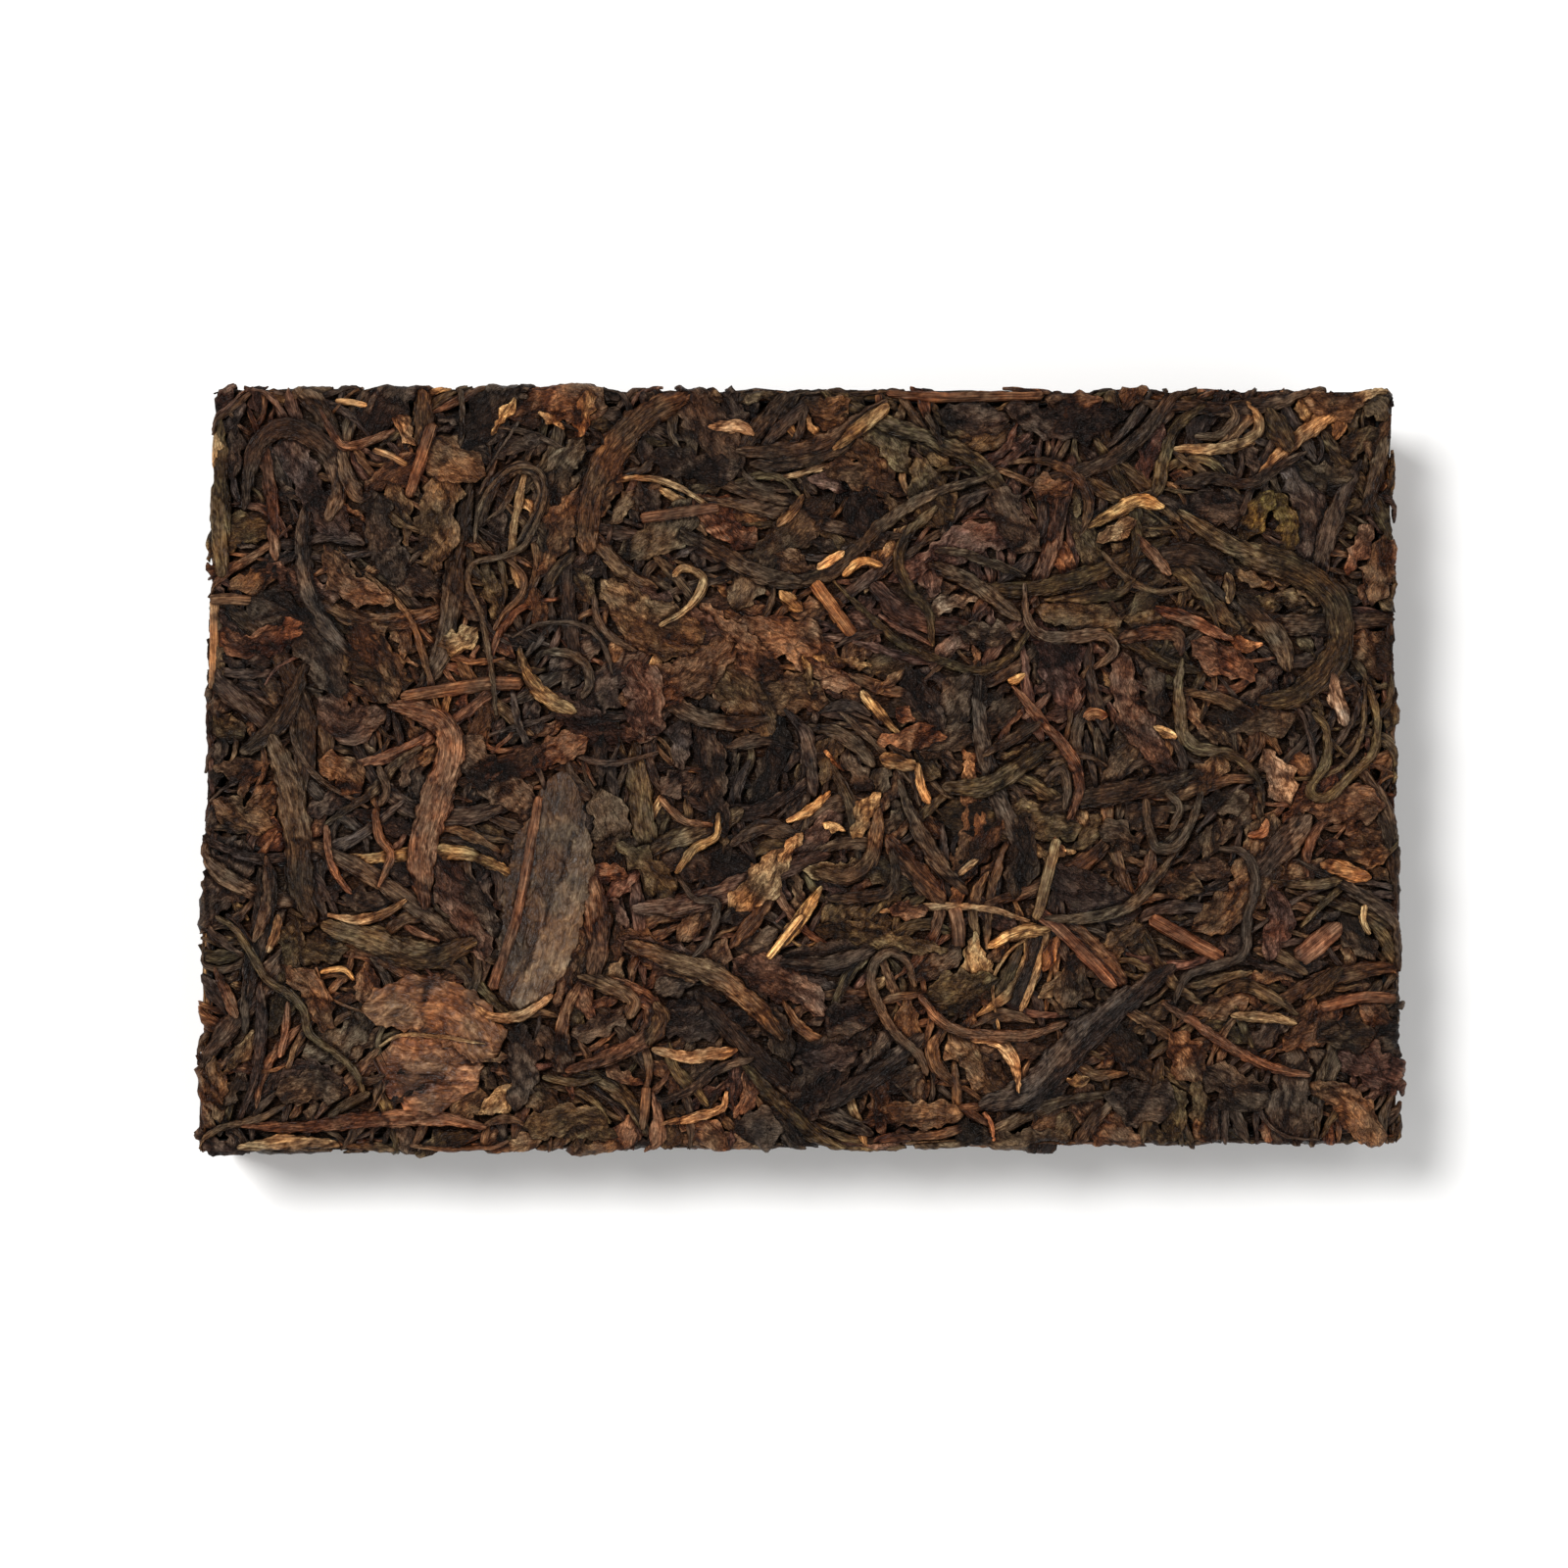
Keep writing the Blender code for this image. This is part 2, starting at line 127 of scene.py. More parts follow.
# The largest pieces on the top face: form, tone, width, then the points of its route, in
# millimetres from the brick's centre. Those that lie on others come first.
TOP_PIECES = [
    (
        "tendril", "slate", 1.0, (-38.6, 25.9), (-38.2, 29.6), (-36.6, 32.8), (-33.9, 35), (-31.1, 34.5),
        (-30.4, 31.9), (-31.3, 28.7), (-32.9, 25.7), (-35.2, 24.5), (-38.8, 23.5), (-39.2, 20.9),
        (-37.9, 18.1), (-37.2, 14.9), (-36.7, 11.7), (-36.3, 9), (-36, 5.8)
    ),
    ("tendril", "brown", 1.0, (-35.2, 24.5), (-32.9, 22.3), (-33.1, 20), (-35.2, 17.7), (-36.3, 15.8)),
    (
        "tendril", "black", 0.9, (-34.2, 14.9), (-31.5, 16.3), (-27.9, 16.7), (-25.1, 15.9),
        (-23.3, 13.6), (-22.4, 10.4)
    ),
    ("tendril", "slate", 1.2, (-24.7, 20), (-24.2, 17.2), (-22.4, 14.9), (-19.7, 13.3)),
    ("tendril", "rust", 1.3, (-50, -5.1), (-49.5, -8.3), (-48.1, -10.6), (-49.5, -14.2)),
    ("tendril", "rust", 1.2, (-55.6, -7), (-55.3, -10.6), (-54, -13.3), (-52.6, -15.1)),
    ("tendril", "tan", 1.3, (-15.1, -12.6), (-12.9, -9.7), (-10.4, -8.3), (-10.1, -5.6)),
    ("tendril", "brown", 1.2, (-17, -3.8), (-14.2, -6.5), (-10.8, -7)),
    (
        "tendril", "black", 1.2, (-14.7, -13.3), (-12.9, -15.6), (-10.2, -16.1), (-11.5, -20.6),
        (-13.1, -22.4)
    ),
    ("tendril", "tan", 1.3, (-15.5, 22.1), (-14.1, 23.2), (-11.8, 21.9), (-13.5, 18.6), (-17, 16.3)),
    ("tendril", "slate", 1.3, (-49.5, -4.7), (-48.6, -2.9), (-49.6, -0.1)),
    ("tendril", "tan", 0.7, (-49.3, -32.6), (-46.7, -31.3), (-42.2, -31.5), (-36.8, -32.4)),
    (
        "tendril", "olive", 1.3, (-68.3, -17.6), (-66.1, -19), (-64.2, -21.7), (-62.4, -24.8),
        (-59.7, -26.6), (-58, -28.4), (-57.4, -31.1), (-54.3, -33.4), (-52, -35.6), (-51.1, -37.9)
    ),
    ("tendril", "slate", 1.4, (-55.1, -40.6), (-52.9, -39.2), (-50.4, -37.9)),
    ("tendril", "rust", 1.2, (-59.9, -27.5), (-60.1, -30.7), (-60.8, -33.8)),
    ("tendril", "brown", 1.3, (-45.7, -44), (-41.7, -44.8), (-36.7, -44.6), (-34.4, -43.5)),
    ("tendril", "straw", 0.9, (-56.1, -24), (-53.5, -23.7), (-52.3, -24.9)),
    ("tendril", "olive", 1.2, (-30.5, -36.2), (-26.9, -36.8), (-23.7, -36.3)),
    ("tendril", "slate", 1.4, (46.1, 38.9), (49, 39.1), (50.9, 41.1), (50.4, 42.7)),
    ("tendril", "straw", 1.4, (1.5, 23.1), (2.9, 24), (4.6, 25.1)),
    ("tendril", "straw", 1.3, (4.5, 22.3), (6.7, 24), (9.2, 23.4)),
    (
        "tendril", "olive", 1.5, (59.6, 6.2), (61.2, 4.3), (61.2, 0.4), (59.2, -2.9), (60.9, -3.9),
        (63.8, -1.5), (66.7, 1.4), (67.3, 5.2), (66.3, 9.5)
    ),
    ("tendril", "straw", 1.4, (13.2, 0.2), (13.5, -2.4), (14.5, -4.5)),
    ("tendril", "straw", 1.3, (23.8, 9.9), (24.7, 10.1), (25.8, 10.7)),
    ("tendril", "tan", 1.1, (17.9, -12.8), (18.9, -11.9), (20.1, -11)),
    ("tendril", "slate", 1.4, (28, -1.9), (29.9, -0.5), (30.7, -2.6), (30.3, -5.2)),
    (
        "tendril", "slate", 1.5, (39.8, -4), (40.3, -7.8), (41.2, -9.7), (43.6, -9.3), (45.5, -5.9),
        (46.5, -3.1)
    ),
    ("tendril", "slate", 1.2, (42.2, -3.1), (43.9, -5), (42.7, -7.8)),
    ("tendril", "orange", 1.6, (51.8, -8.3), (53.7, -7.8), (54.1, -6.3)),
    (
        "tendril", "black", 1.6, (43, -27.8), (44.4, -24.7), (47.7, -23.5), (51.1, -22.1), (51.7, -17.8),
        (52.7, -13.1), (51.2, -10.2), (48.4, -9.8)
    ),
    ("tendril", "tan", 1.5, (49.6, -29.2), (54.8, -29.6), (57.2, -30.2)),
    ("tendril", "rust", 1.5, (41.5, -27.8), (45.3, -30.1), (49.5, -32.9), (54.2, -35.3), (58.7, -36.2)),
    ("tendril", "brown", 1.6, (13.1, -26.7), (15.9, -30), (19.7, -31.4), (25.4, -31.5), (30.2, -30.1)),
    (
        "tendril", "slate", 1.5, (14, -36.1), (13.1, -33.8), (10.2, -30.9), (7.9, -26.7), (7.9, -23.4),
        (9.8, -21.8), (11.7, -22.9), (12.7, -25.8)
    ),
    ("tendril", "orange", 0.8, (20.6, -40.4), (21.5, -41.8), (21.7, -43.7)),
    ("tendril", "tan", 1.2, (65.5, -16.4), (65.2, -18.3), (66, -19.8)),
    (
        "strand", "slate", 1.6, (-31.5, 11.7), (-30.6, 13.1), (-27.9, 13.1), (-25.6, 11.7), (-25.1, 9.4),
        (-26, 7.8)
    ),
    ("strand", "tan", 2.4, (-33.3, 14), (-32.9, 11.7), (-31.5, 9.4), (-29.7, 7.6), (-26.7, 6.2)),
    ("strand", "slate", 1.6, (-55.8, -7), (-53.1, -5.1), (-50, -2.9), (-47.8, -0.1), (-44.6, 2.1)),
    ("strand", "tan", 1.6, (-55.3, -17.4), (-51.7, -18), (-48.5, -17.1), (-46.2, -15.6)),
    ("stem", "rust", 1.5, (-31, -3.8), (-32.3, -11.5), (-33.7, -18.3), (-36.3, -25.8)),
    ("stem", "straw", 1.1, (-4.3, -22.4), (-0.3, -17.4)),
    ("strand", "rust", 1.5, (-56.7, 42), (-55.7, 39.7), (-53.9, 37.4), (-51.2, 37.9), (-48, 39.3)),
    ("stem", "straw", 0.9, (-54.8, 42.8), (-53, 42.6), (-51.2, 42.2)),
    ("strand", "slate", 2.6, (-14.7, 27.8), (-10.1, 25.1), (-5.5, 22.6), (-0.2, 21.6)),
    ("strand", "tan", 2.0, (-11.5, 39.9), (-7.8, 39.9), (-5.9, 38.9)),
    ("strand", "slate", 1.6, (-6.4, 35.5), (-3.2, 35.2), (-0.1, 35.3)),
    ("strand", "tan", 1.6, (-3.2, 28.1), (-1.4, 29.9), (-0.1, 31.8)),
    ("scrap", "straw", 2.4, (-36.6, 38.8), (-35.2, 41.2), (-33.9, 43)),
    ("scrap", "straw", 1.8, (-31.1, 41.4), (-29.8, 40.5), (-28.2, 39.6)),
    ("stem", "rust", 1.5, (-69.4, 19.3), (-67.1, 19.4), (-64.6, 19.2)),
    ("strand", "slate", 2.0, (-30.6, 20), (-29.3, 22.7), (-26.8, 25)),
    ("strand", "slate", 2.5, (-54.3, 36.9), (-53.4, 33.7), (-52, 31.4), (-50.7, 31.9)),
    ("stem", "tan", 1.0, (-50.3, 36.9), (-48.4, 36.3), (-46.7, 35.3)),
    ("strand", "slate", 2.0, (-62.5, -10.6), (-62.1, -14.2), (-62.9, -18.3), (-63.8, -20.5)),
    ("strand", "black", 1.4, (-67, -17.3), (-64.7, -20.1), (-62.9, -24.1)),
    ("strand", "tan", 2.6, (-65.4, -44.2), (-59.6, -43.8), (-53.8, -44)),
    ("strand", "brown", 2.0, (-52.9, -44.1), (-50.2, -44.4), (-47.5, -44.6)),
    ("strand", "rust", 1.8, (-68.3, -23.5), (-67.1, -26.2), (-65.7, -29.3)),
    ("strand", "tan", 1.8, (-61.1, -17.4), (-61.3, -19.4), (-62.2, -21.7)),
    ("strand", "black", 2.4, (-63, -10.4), (-61.8, -13.6), (-62.5, -18.1), (-63.6, -22.6), (-64.4, -27.5)),
    ("strand", "tan", 1.5, (-38.8, -27.6), (-36.3, -29.2), (-32.7, -29), (-29.4, -26.7)),
    ("strand", "brown", 2.6, (-26.4, -24.5), (-23.3, -25.5), (-20.1, -27.2), (-20.6, -29.4)),
    ("strand", "brown", 3.0, (-17.6, -27.6), (-16.7, -29.4), (-18.3, -32.4)),
    ("strand", "tan", 2.0, (-17.8, -33), (-14.2, -33.9), (-11.1, -33.7), (-8, -33.1)),
    ("strand", "slate", 1.6, (-17.4, -39.3), (-13.3, -37.6), (-10.2, -35.3), (-6.1, -34.1)),
    ("stem", "rust", 1.3, (-18.5, -37.5), (-18.7, -40.2), (-19, -42.2)),
    ("strand", "tan", 1.4, (-16.9, -41.7), (-12.4, -40.7), (-9.7, -39.8), (-9.2, -37.9)),
    ("strand", "tan", 2.6, (3.4, 37.2), (6.3, 39.6), (9.9, 42.5)),
    ("strand", "slate", 2.0, (-4.7, 35.7), (-0.9, 35.6), (3.4, 36.8), (6, 38.7)),
    ("strand", "slate", 1.5, (14.4, 41.6), (15.4, 39.7), (16.3, 37.3)),
    (
        "strand", "brown", 1.8, (24, 35.6), (27.8, 36.1), (31.6, 34.5), (33.5, 31.6), (33.1, 28.7),
        (32, 26.7)
    ),
    ("strand", "straw", 2.2, (33.5, 28.1), (36.8, 30), (39.7, 31.2), (42.4, 30.5)),
    ("strand", "tan", 1.9, (43.6, 37.4), (48, 37.4), (51.4, 38.1), (53.6, 39.4), (53.6, 41.5), (52.3, 43)),
    ("strand", "slate", 2.4, (66.2, 29.7), (67.7, 34.6), (68.7, 38.9)),
    ("strand", "slate", 2.0, (43.6, 33.3), (47.9, 34), (52.7, 33.3), (55.2, 34.8), (59.3, 37)),
    ("stem", "orange", 1.9, (1.2, 21.4), (3.3, 18.5), (5.6, 15.3)),
    ("strand", "straw", 2.2, (-2.9, 20.4), (-1.6, 19.2), (-0.2, 18.1)),
    ("strand", "slate", 1.7, (15, 25.3), (19.1, 24.8), (22.9, 23.4), (25.9, 22.3)),
    ("strand", "slate", 2.6, (14.3, 23.8), (19.1, 21.9), (22.4, 19.5), (25.3, 17.1)),
    (
        "strand", "slate", 2.0, (25.8, 21.4), (26.2, 17.1), (28.1, 15.2), (31.9, 15.2), (35.3, 15.2),
        (36.3, 13.3), (33.9, 11.3)
    ),
    ("strand", "olive", 2.0, (28.1, 19.4), (32.9, 19.8), (37.2, 20.5), (38.8, 22)),
    ("strand", "rust", 2.6, (36.7, 14.8), (40.5, 15.7), (43.9, 15.2), (44.2, 12.9)),
    ("strand", "rust", 2.0, (41, 18.6), (45.3, 17.2), (50.3, 14.7)),
    ("strand", "tan", 1.8, (49.7, 22.7), (50.2, 21), (49.8, 19.1)),
    ("strand", "slate", 2.0, (20.8, 1.1), (24.7, 3.3), (27.8, 5.2)),
    ("strand", "blue", 2.2, (-2.4, 6.6), (0, 3.7), (0.7, -0.1), (1.1, -3.6)),
    ("strand", "slate", 2.2, (0, 4.7), (3.8, 3.7), (6.6, 1.8), (8, -0.1)),
    ("strand", "tan", 2.4, (8.7, 0.9), (10.9, 0.4), (13, -0.2)),
    ("scrap", "orange", 2.0, (2.3, 1.6), (3.3, 0.6), (4.5, -0.5)),
    ("strand", "tan", 1.6, (6.6, 8.7), (9, 5.6), (11.1, 3.6)),
    ("scrap", "rust", 2.6, (10.7, 6.6), (11.6, 5.9), (12.8, 5.2)),
    ("strand", "orange", 2.2, (32.6, 5.4), (33.8, 6.1), (35.4, 5.8)),
    ("strand", "straw", 1.7, (40.8, 4.5), (42.1, 4), (43.5, 3.2)),
    ("strand", "pale", 2.5, (62, 10.7), (62.7, 7.6), (63.5, 4.7)),
    ("strand", "brown", 2.0, (39.2, 27.2), (41.1, 24.8), (43, 22.4)),
    ("scrap", "straw", 2.8, (2.1, -6.6), (3, -6.9), (4.4, -7.6)),
    ("strand", "straw", 1.5, (-2.2, -6.6), (0.9, -5), (2.9, -3.1)),
    ("strand", "straw", 2.1, (-4, -22), (-1.5, -19.2), (0.4, -16.3), (1.9, -14.2)),
    ("strand", "slate", 2.2, (10, -9.7), (10.4, -12.6), (9.4, -14.9), (5.6, -15.5), (2.3, -15.5)),
    ("strand", "slate", 2.4, (10.9, -1.7), (12.3, -5.5), (14.1, -9.2), (16, -12.1), (18.9, -15)),
    ("stem", "tan", 1.5, (29.4, -8.8), (28.4, -12.6), (27.4, -16.4), (26.8, -17.9)),
    ("scrap", "orange", 1.8, (29.1, -8.5), (29.6, -9.3), (30.3, -10.1)),
    ("strand", "slate", 1.8, (27.8, -17.9), (33.1, -17.9), (37.8, -16.4), (41.2, -13.1), (44.1, -8.8)),
    ("strand", "straw", 2.2, (21.2, -21.2), (24.5, -19.7), (28.5, -19.2)),
    ("strand", "orange", 1.9, (29.3, -20.1), (28.4, -22.5), (27.7, -24)),
    ("stem", "rust", 2.8, (57.8, -22.6), (60.1, -20.7), (62.5, -18.8)),
    ("strand", "orange", 2.6, (60.3, -11.5), (62.6, -12.2), (66.2, -13.2)),
    ("strand", "olive", 1.7, (54.5, -13.6), (59.3, -14.1), (62.7, -13.5)),
    ("strand", "olive", 2.0, (47.7, -26.9), (51, -25.8), (54.8, -27.3), (57.3, -29.2)),
    ("strand", "olive", 2.8, (58.1, -27.4), (60.5, -25.4), (62.7, -23.7)),
    ("strand", "straw", 1.8, (19.2, -32), (22.5, -32.4), (24.4, -35.2), (24.6, -38.4)),
    ("scrap", "tan", 2.4, (30.3, -36.6), (31.5, -36.9), (32.9, -36.5)),
    ("strand", "rust", 1.8, (7.8, -43.7), (9.7, -43.4), (12.1, -43.5)),
    ("strand", "olive", 1.3, (50, -28.2), (51, -30.6), (52.1, -33)),
    ("stem", "rust", 1.8, (17.4, -16.8), (17.8, -18.9), (17.9, -21.1)),
    (
        "strand", "slate", 2.2, (-15, 27), (-9, 24.6), (-3, 21.8), (3, 22.7), (9.5, 28.5), (15, 32),
        (22.5, 34.3)
    ),
    ("strand", "olive", 1.7, (3.2, 21.8), (10, 15.3), (14, 13), (20, 11.2), (24, 12.5), (26.4, 16)),
    ("strand", "olive", 1.8, (15.5, 30.5), (12, 27), (11, 24), (12.5, 20.5), (14.5, 18), (15, 14)),
    ("strand", "olive", 2.0, (47.5, 43), (44, 40), (42.3, 36), (41.5, 32.3), (38, 31), (33.5, 28.3)),
    ("strand", "rust", 1.8, (24.3, 9.3), (27, 6), (30, 2.5), (32, -1), (31.8, -4), (30.5, -7)),
    ("strand", "slate", 1.9, (-38, 28), (-36, 33.3), (-33, 35), (-30.8, 33), (-31, 30), (-33.5, 26)),
    ("strand", "olive", 2.0, (44.3, 12.5), (43.8, 8), (45, 2.6), (50, 1.2), (53, -1.5), (53.7, -5)),
    ("stem", "rust", 1.9, (-47, 8), (-42, 8.8), (-37, 9.5), (-33.3, 9.6)),
    ("stem", "rust", 1.7, (-43.6, 40), (-45, 35.5), (-46.3, 31.6)),
    ("stem", "tan", 1.7, (-69, 19.5), (-69, 15), (-69.3, 9)),
    ("stem", "rust", 1.6, (-19, 29), (-14, 29.8), (-10.2, 30.3)),
    ("stem", "rust", 1.8, (27, -17), (30, -19.5), (33, -22.6), (36, -25.8)),
    ("stem", "orange", 1.6, (58, -22.3), (60, -20.6), (62.3, -18.8)),
    ("stem", "rust", 2.0, (40.5, -18), (44, -20), (48.5, -22.5)),
    ("stem", "rust", 1.6, (60.3, -28.3), (65, -27.2), (69, -27.3)),
    ("stem", "rust", 1.8, (10, 44.2), (16, 43.7), (22, 43.9), (28, 44)),
    ("blade", "slate", 11.0, (-28.1, -1.1), (-29.1, -7.9), (-30.3, -15), (-31.4, -21.6), (-33.2, -27.8)),
    ("veined", "russet", 9.0, (-51, -28.3), (-45.6, -27.8), (-39.9, -29.5), (-36.5, -33.4)),
    ("veined", "russet", 11.5, (-48.4, -34.5), (-43.8, -35.1), (-37.7, -34.9)),
    ("leaf", "brown", 8.5, (-53, 16.5), (-50, 12), (-48, 7.5)),
    ("leaf", "brown", 8.5, (-23.5, 21.5), (-19, 17), (-12, 14.5)),
    ("leaf", "plum", 7.0, (-20, 12), (-18.3, 8), (-18.5, 3.5)),
    ("leaf", "blue", 6.0, (-50.5, 32), (-49.5, 27), (-47.5, 21)),
    ("leaf", "brown", 7.0, (-44.5, 37.5), (-41, 35.5), (-37.5, 34)),
    ("leaf", "rust", 5.4, (-40, -2), (-33, 0.5), (-25.5, 3)),
    ("leaf", "brown", 5.4, (-56, 25.5), (-53.5, 21.5), (-48, 19)),
    ("leaf", "slate", 6.0, (-61, -38), (-57, -37.2), (-53.2, -37.8)),
    ("leaf", "black", 6.5, (24, 42), (30, 40.5), (38, 41.5)),
    ("leaf", "brown", 5.0, (68.3, 27), (67.8, 22.5), (66.8, 19)),
    ("leaf", "plum", 5.0, (54.5, -14.5), (55.5, -18), (54, -22.5)),
    ("leaf", "slate", 5.5, (25.5, -5.5), (25.5, -11), (24.5, -15)),
    ("leaf", "orange", 4.0, (-25.5, 44), (-26, 41), (-26.5, 38.5)),
    ("strand", "slate", 4.6, (-62, 3.5), (-60, -2), (-59, -8), (-58.5, -14), (-57, -18.5)),
    ("strand", "slate", 3.0, (-58.2, 12), (-59.5, 8), (-62, 4), (-65.5, 1.5)),
    (
        "strand", "rust", 4.5, (-48.5, 7), (-45, 6.2), (-42, 4.5), (-41.5, 1), (-43, -4), (-44.5, -10),
        (-44, -17)
    ),
    ("strand", "olive", 4.0, (-56, -18.5), (-50, -20.5), (-44, -22.3), (-38, -20.3)),
    ("strand", "brown", 4.6, (-13.5, 43.8), (-18, 41.5), (-22.5, 37), (-25, 31), (-25.3, 25)),
    ("strand", "olive", 3.6, (-68.3, 40.5), (-68.6, 34), (-68.6, 28), (-68, 22)),
    (
        "strand", "olive", 4.8, (44, 30), (50, 26), (58, 23), (62.5, 19.5), (62.8, 13.5), (58.5, 8.5),
        (53, 7.5)
    ),
    ("strand", "blue", 4.6, (20, -39.5), (26, -38), (31, -33), (36, -28.5), (43, -23.5)),
    ("strand", "brown", 3.4, (-21, -20.7), (-16, -22.5), (-10, -24.8), (-6, -28), (-2.5, -32)),
    (
        "strand", "rust", 3.0, (-26.3, -25), (-21.5, -25.8), (-17.8, -28), (-18.5, -31.5), (-23, -34),
        (-28, -35.5)
    ),
    ("strand", "slate", 3.4, (-8, 37), (-2, 37), (3, 38), (9.7, 43)),
    ("strand", "rust", 2.3, (-65, -41.7), (-58, -41.8), (-50, -41), (-42, -41), (-37, -42)),
    ("strand", "black", 2.0, (-63.2, -12), (-63.3, -18), (-64.5, -25), (-64.7, -31)),
    ("strand", "olive", 3.2, (16, -2.5), (21, -2.5), (26, 0.5), (29, 2.5)),
    ("strand", "brown", 3.6, (9.5, -8.3), (12.5, -12), (16, -16)),
    ("strand", "brown", 2.6, (1, -12.3), (5, -13), (7.8, -10.5), (8.6, -5)),
    ("strand", "black", 2.8, (-3, -23), (3, -23.3), (8, -21.5)),
    ("leaf", "tan", 2.2, (-0.2, 12.8), (0.5, 10.9), (0.6, 8.5)),
    ("leaf", "tan", 2.6, (0.9, 12.8), (3.8, 12.1), (7.7, 11.7)),
    ("leaf", "orange", 2.6, (50.1, 14.8), (51.8, 14.2), (53.7, 14.2)),
    ("leaf", "straw", 2.8, (-0.5, -8.1), (-1.7, -9.5), (-2.9, -11.4)),
    ("leaf", "rust", 3.2, (-23.3, -34.2), (-21.4, -36), (-19.2, -36.9)),
    ("leaf", "tan", 3.2, (34.4, 26.3), (36.3, 27.5), (38.8, 28.7)),
    ("strand", "rust", 3.2, (28.3, -17.8), (32.1, -20.1), (35.4, -23.5), (37.2, -25.6)),
    (
        "strand", "slate", 3.4, (-65.4, 30), (-64.8, 35.1), (-63, 38.7), (-59.8, 39.7), (-56.6, 37.8),
        (-54.8, 35.1), (-54.5, 31.9), (-55.6, 28.6)
    ),
    ("leaf", "rust", 3.4, (-24.9, -12.4), (-23.1, -12.6), (-20.8, -12.9)),
    ("leaf", "brown", 3.4, (-48.5, -25.8), (-44, -26.9), (-39.9, -28), (-37.5, -30.5)),
    ("strand", "olive", 3.4, (54.8, 42.3), (56.2, 39.9), (57.4, 37.2)),
    ("leaf", "pale", 3.4, (14.1, 18.3), (17.2, 19), (20.3, 19.8)),
    ("strand", "slate", 3.5, (51.1, 20.1), (54, 17.2), (56.3, 13.8), (56.9, 11)),
    ("leaf", "rust", 3.6, (9.8, -16.8), (11.7, -17.1), (14.1, -16.8)),
    ("leaf", "tan", 3.8, (-0.1, -12.3), (4.6, -12.6), (8.7, -10)),
    ("leaf", "brown", 4.0, (-68.5, -0.2), (-66.2, -0.6), (-63.1, -0.1)),
    ("leaf", "black", 4.0, (-39.6, -13.8), (-37.7, -16), (-35.9, -19.6)),
    ("leaf", "slate", 4.0, (-26.9, -31.2), (-23.7, -30.3), (-20.6, -28.8)),
    ("leaf", "moss", 4.0, (51.4, 26.6), (53.4, 29.7), (55.1, 32.1)),
    ("leaf", "rust", 4.0, (63.9, 22.5), (65.1, 25.4), (66.9, 28)),
    ("leaf", "rust", 4.0, (8.7, 2.6), (12.8, 3.3), (16.8, 3.3)),
    ("leaf", "brown", 4.0, (0.1, 43), (2.5, 42.1), (5.3, 43.1)),
    ("leaf", "tan", 4.0, (5.8, -8.5), (7, -5.7), (8.7, -3.3)),
    ("leaf", "tan", 4.2, (-42.4, 14), (-40.1, 14.5), (-38.3, 15.8)),
    ("leaf", "plum", 4.2, (-21.5, -20.4), (-16.9, -21.8), (-12.4, -23.6), (-9, -25.4)),
    ("leaf", "slate", 4.5, (-7.9, -24.9), (-4.3, -29.5), (-2, -34.4)),
    ("leaf", "brown", 4.5, (-68.2, -33.8), (-68.1, -37.4), (-67.6, -41)),
    ("leaf", "brown", 4.5, (26.8, 32.5), (28.7, 32.5), (30.9, 32)),
    ("leaf", "brown", 4.5, (2.4, 34.8), (7.2, 33.9), (11.7, 32)),
    ("leaf", "rust", 4.5, (-3.3, 24.7), (-0.9, 23.3), (1, 22.8)),
    ("leaf", "brown", 4.5, (17.9, -13.5), (20.8, -9.7), (22.9, -6.2)),
    ("leaf", "moss", 4.6, (55.1, 31.6), (57, 28.7), (57, 25.4)),
    ("leaf", "slate", 4.6, (34.3, -7.8), (36.5, -8.3), (38.6, -10.2)),
    ("strand", "slate", 4.6, (52.9, -12.8), (56, -9.3), (59.2, -5.9)),
    ("leaf", "black", 4.6, (-2.5, -22.7), (1.8, -22.2), (6.3, -21.5)),
    ("leaf", "rust", 5.0, (-68.2, 15.3), (-64.6, 14), (-58.7, 16.3)),
    ("leaf", "olive", 5.0, (-21.9, -9.2), (-17.9, -12), (-15.6, -15.1)),
    ("leaf", "brown", 5.0, (-60.2, -23.5), (-57, -26.2), (-55.2, -30.7)),
    ("leaf", "slate", 5.0, (-30.5, -30.3), (-28.7, -33), (-27.8, -35.7)),
    ("leaf", "blue", 5.0, (11.9, 11.4), (14.2, 7.6), (16.1, 4.2)),
    ("leaf", "rust", 5.0, (28.8, 43.1), (31.7, 42.7), (35.1, 43.2)),
    ("leaf", "brown", 5.0, (59.1, 43.3), (62.5, 42.6), (66.4, 43.3)),
    ("leaf", "slate", 5.0, (58.1, 35.5), (60.9, 34.1), (64.3, 34.1)),
    ("leaf", "slate", 5.0, (18.1, 16.2), (20.9, 15.2), (23.8, 15.2)),
    ("leaf", "black", 5.0, (40.5, 11.4), (41.4, 8.5), (41.9, 5.7)),
    ("leaf", "slate", 5.0, (47.1, 6.2), (51.4, 5.2), (57.2, 5.2)),
    ("leaf", "blue", 5.0, (-2, -33.5), (2.2, -34), (5.7, -33.5)),
    ("leaf", "brown", 5.0, (6.9, -41.3), (11.6, -40.6), (18, -40.6)),
    ("leaf", "slate", 5.0, (46.5, -4.5), (49.4, -4.5), (51.8, -3.6)),
    ("leaf", "brown", 5.0, (63.2, -9.3), (65.5, -10.2), (67.9, -10.2)),
    ("leaf", "slate", 5.0, (62.6, -17.8), (64, -19.7), (66.3, -22.6)),
    ("leaf", "olive", 5.5, (-53.3, 12.6), (-50.1, 10.8), (-46, 9.9)),
    ("leaf", "olive", 5.5, (-68.6, 5.3), (-67.2, 4.2), (-64.9, 4.4)),
    ("leaf", "black", 5.5, (-33, -30.3), (-32.7, -34.8), (-33.6, -40)),
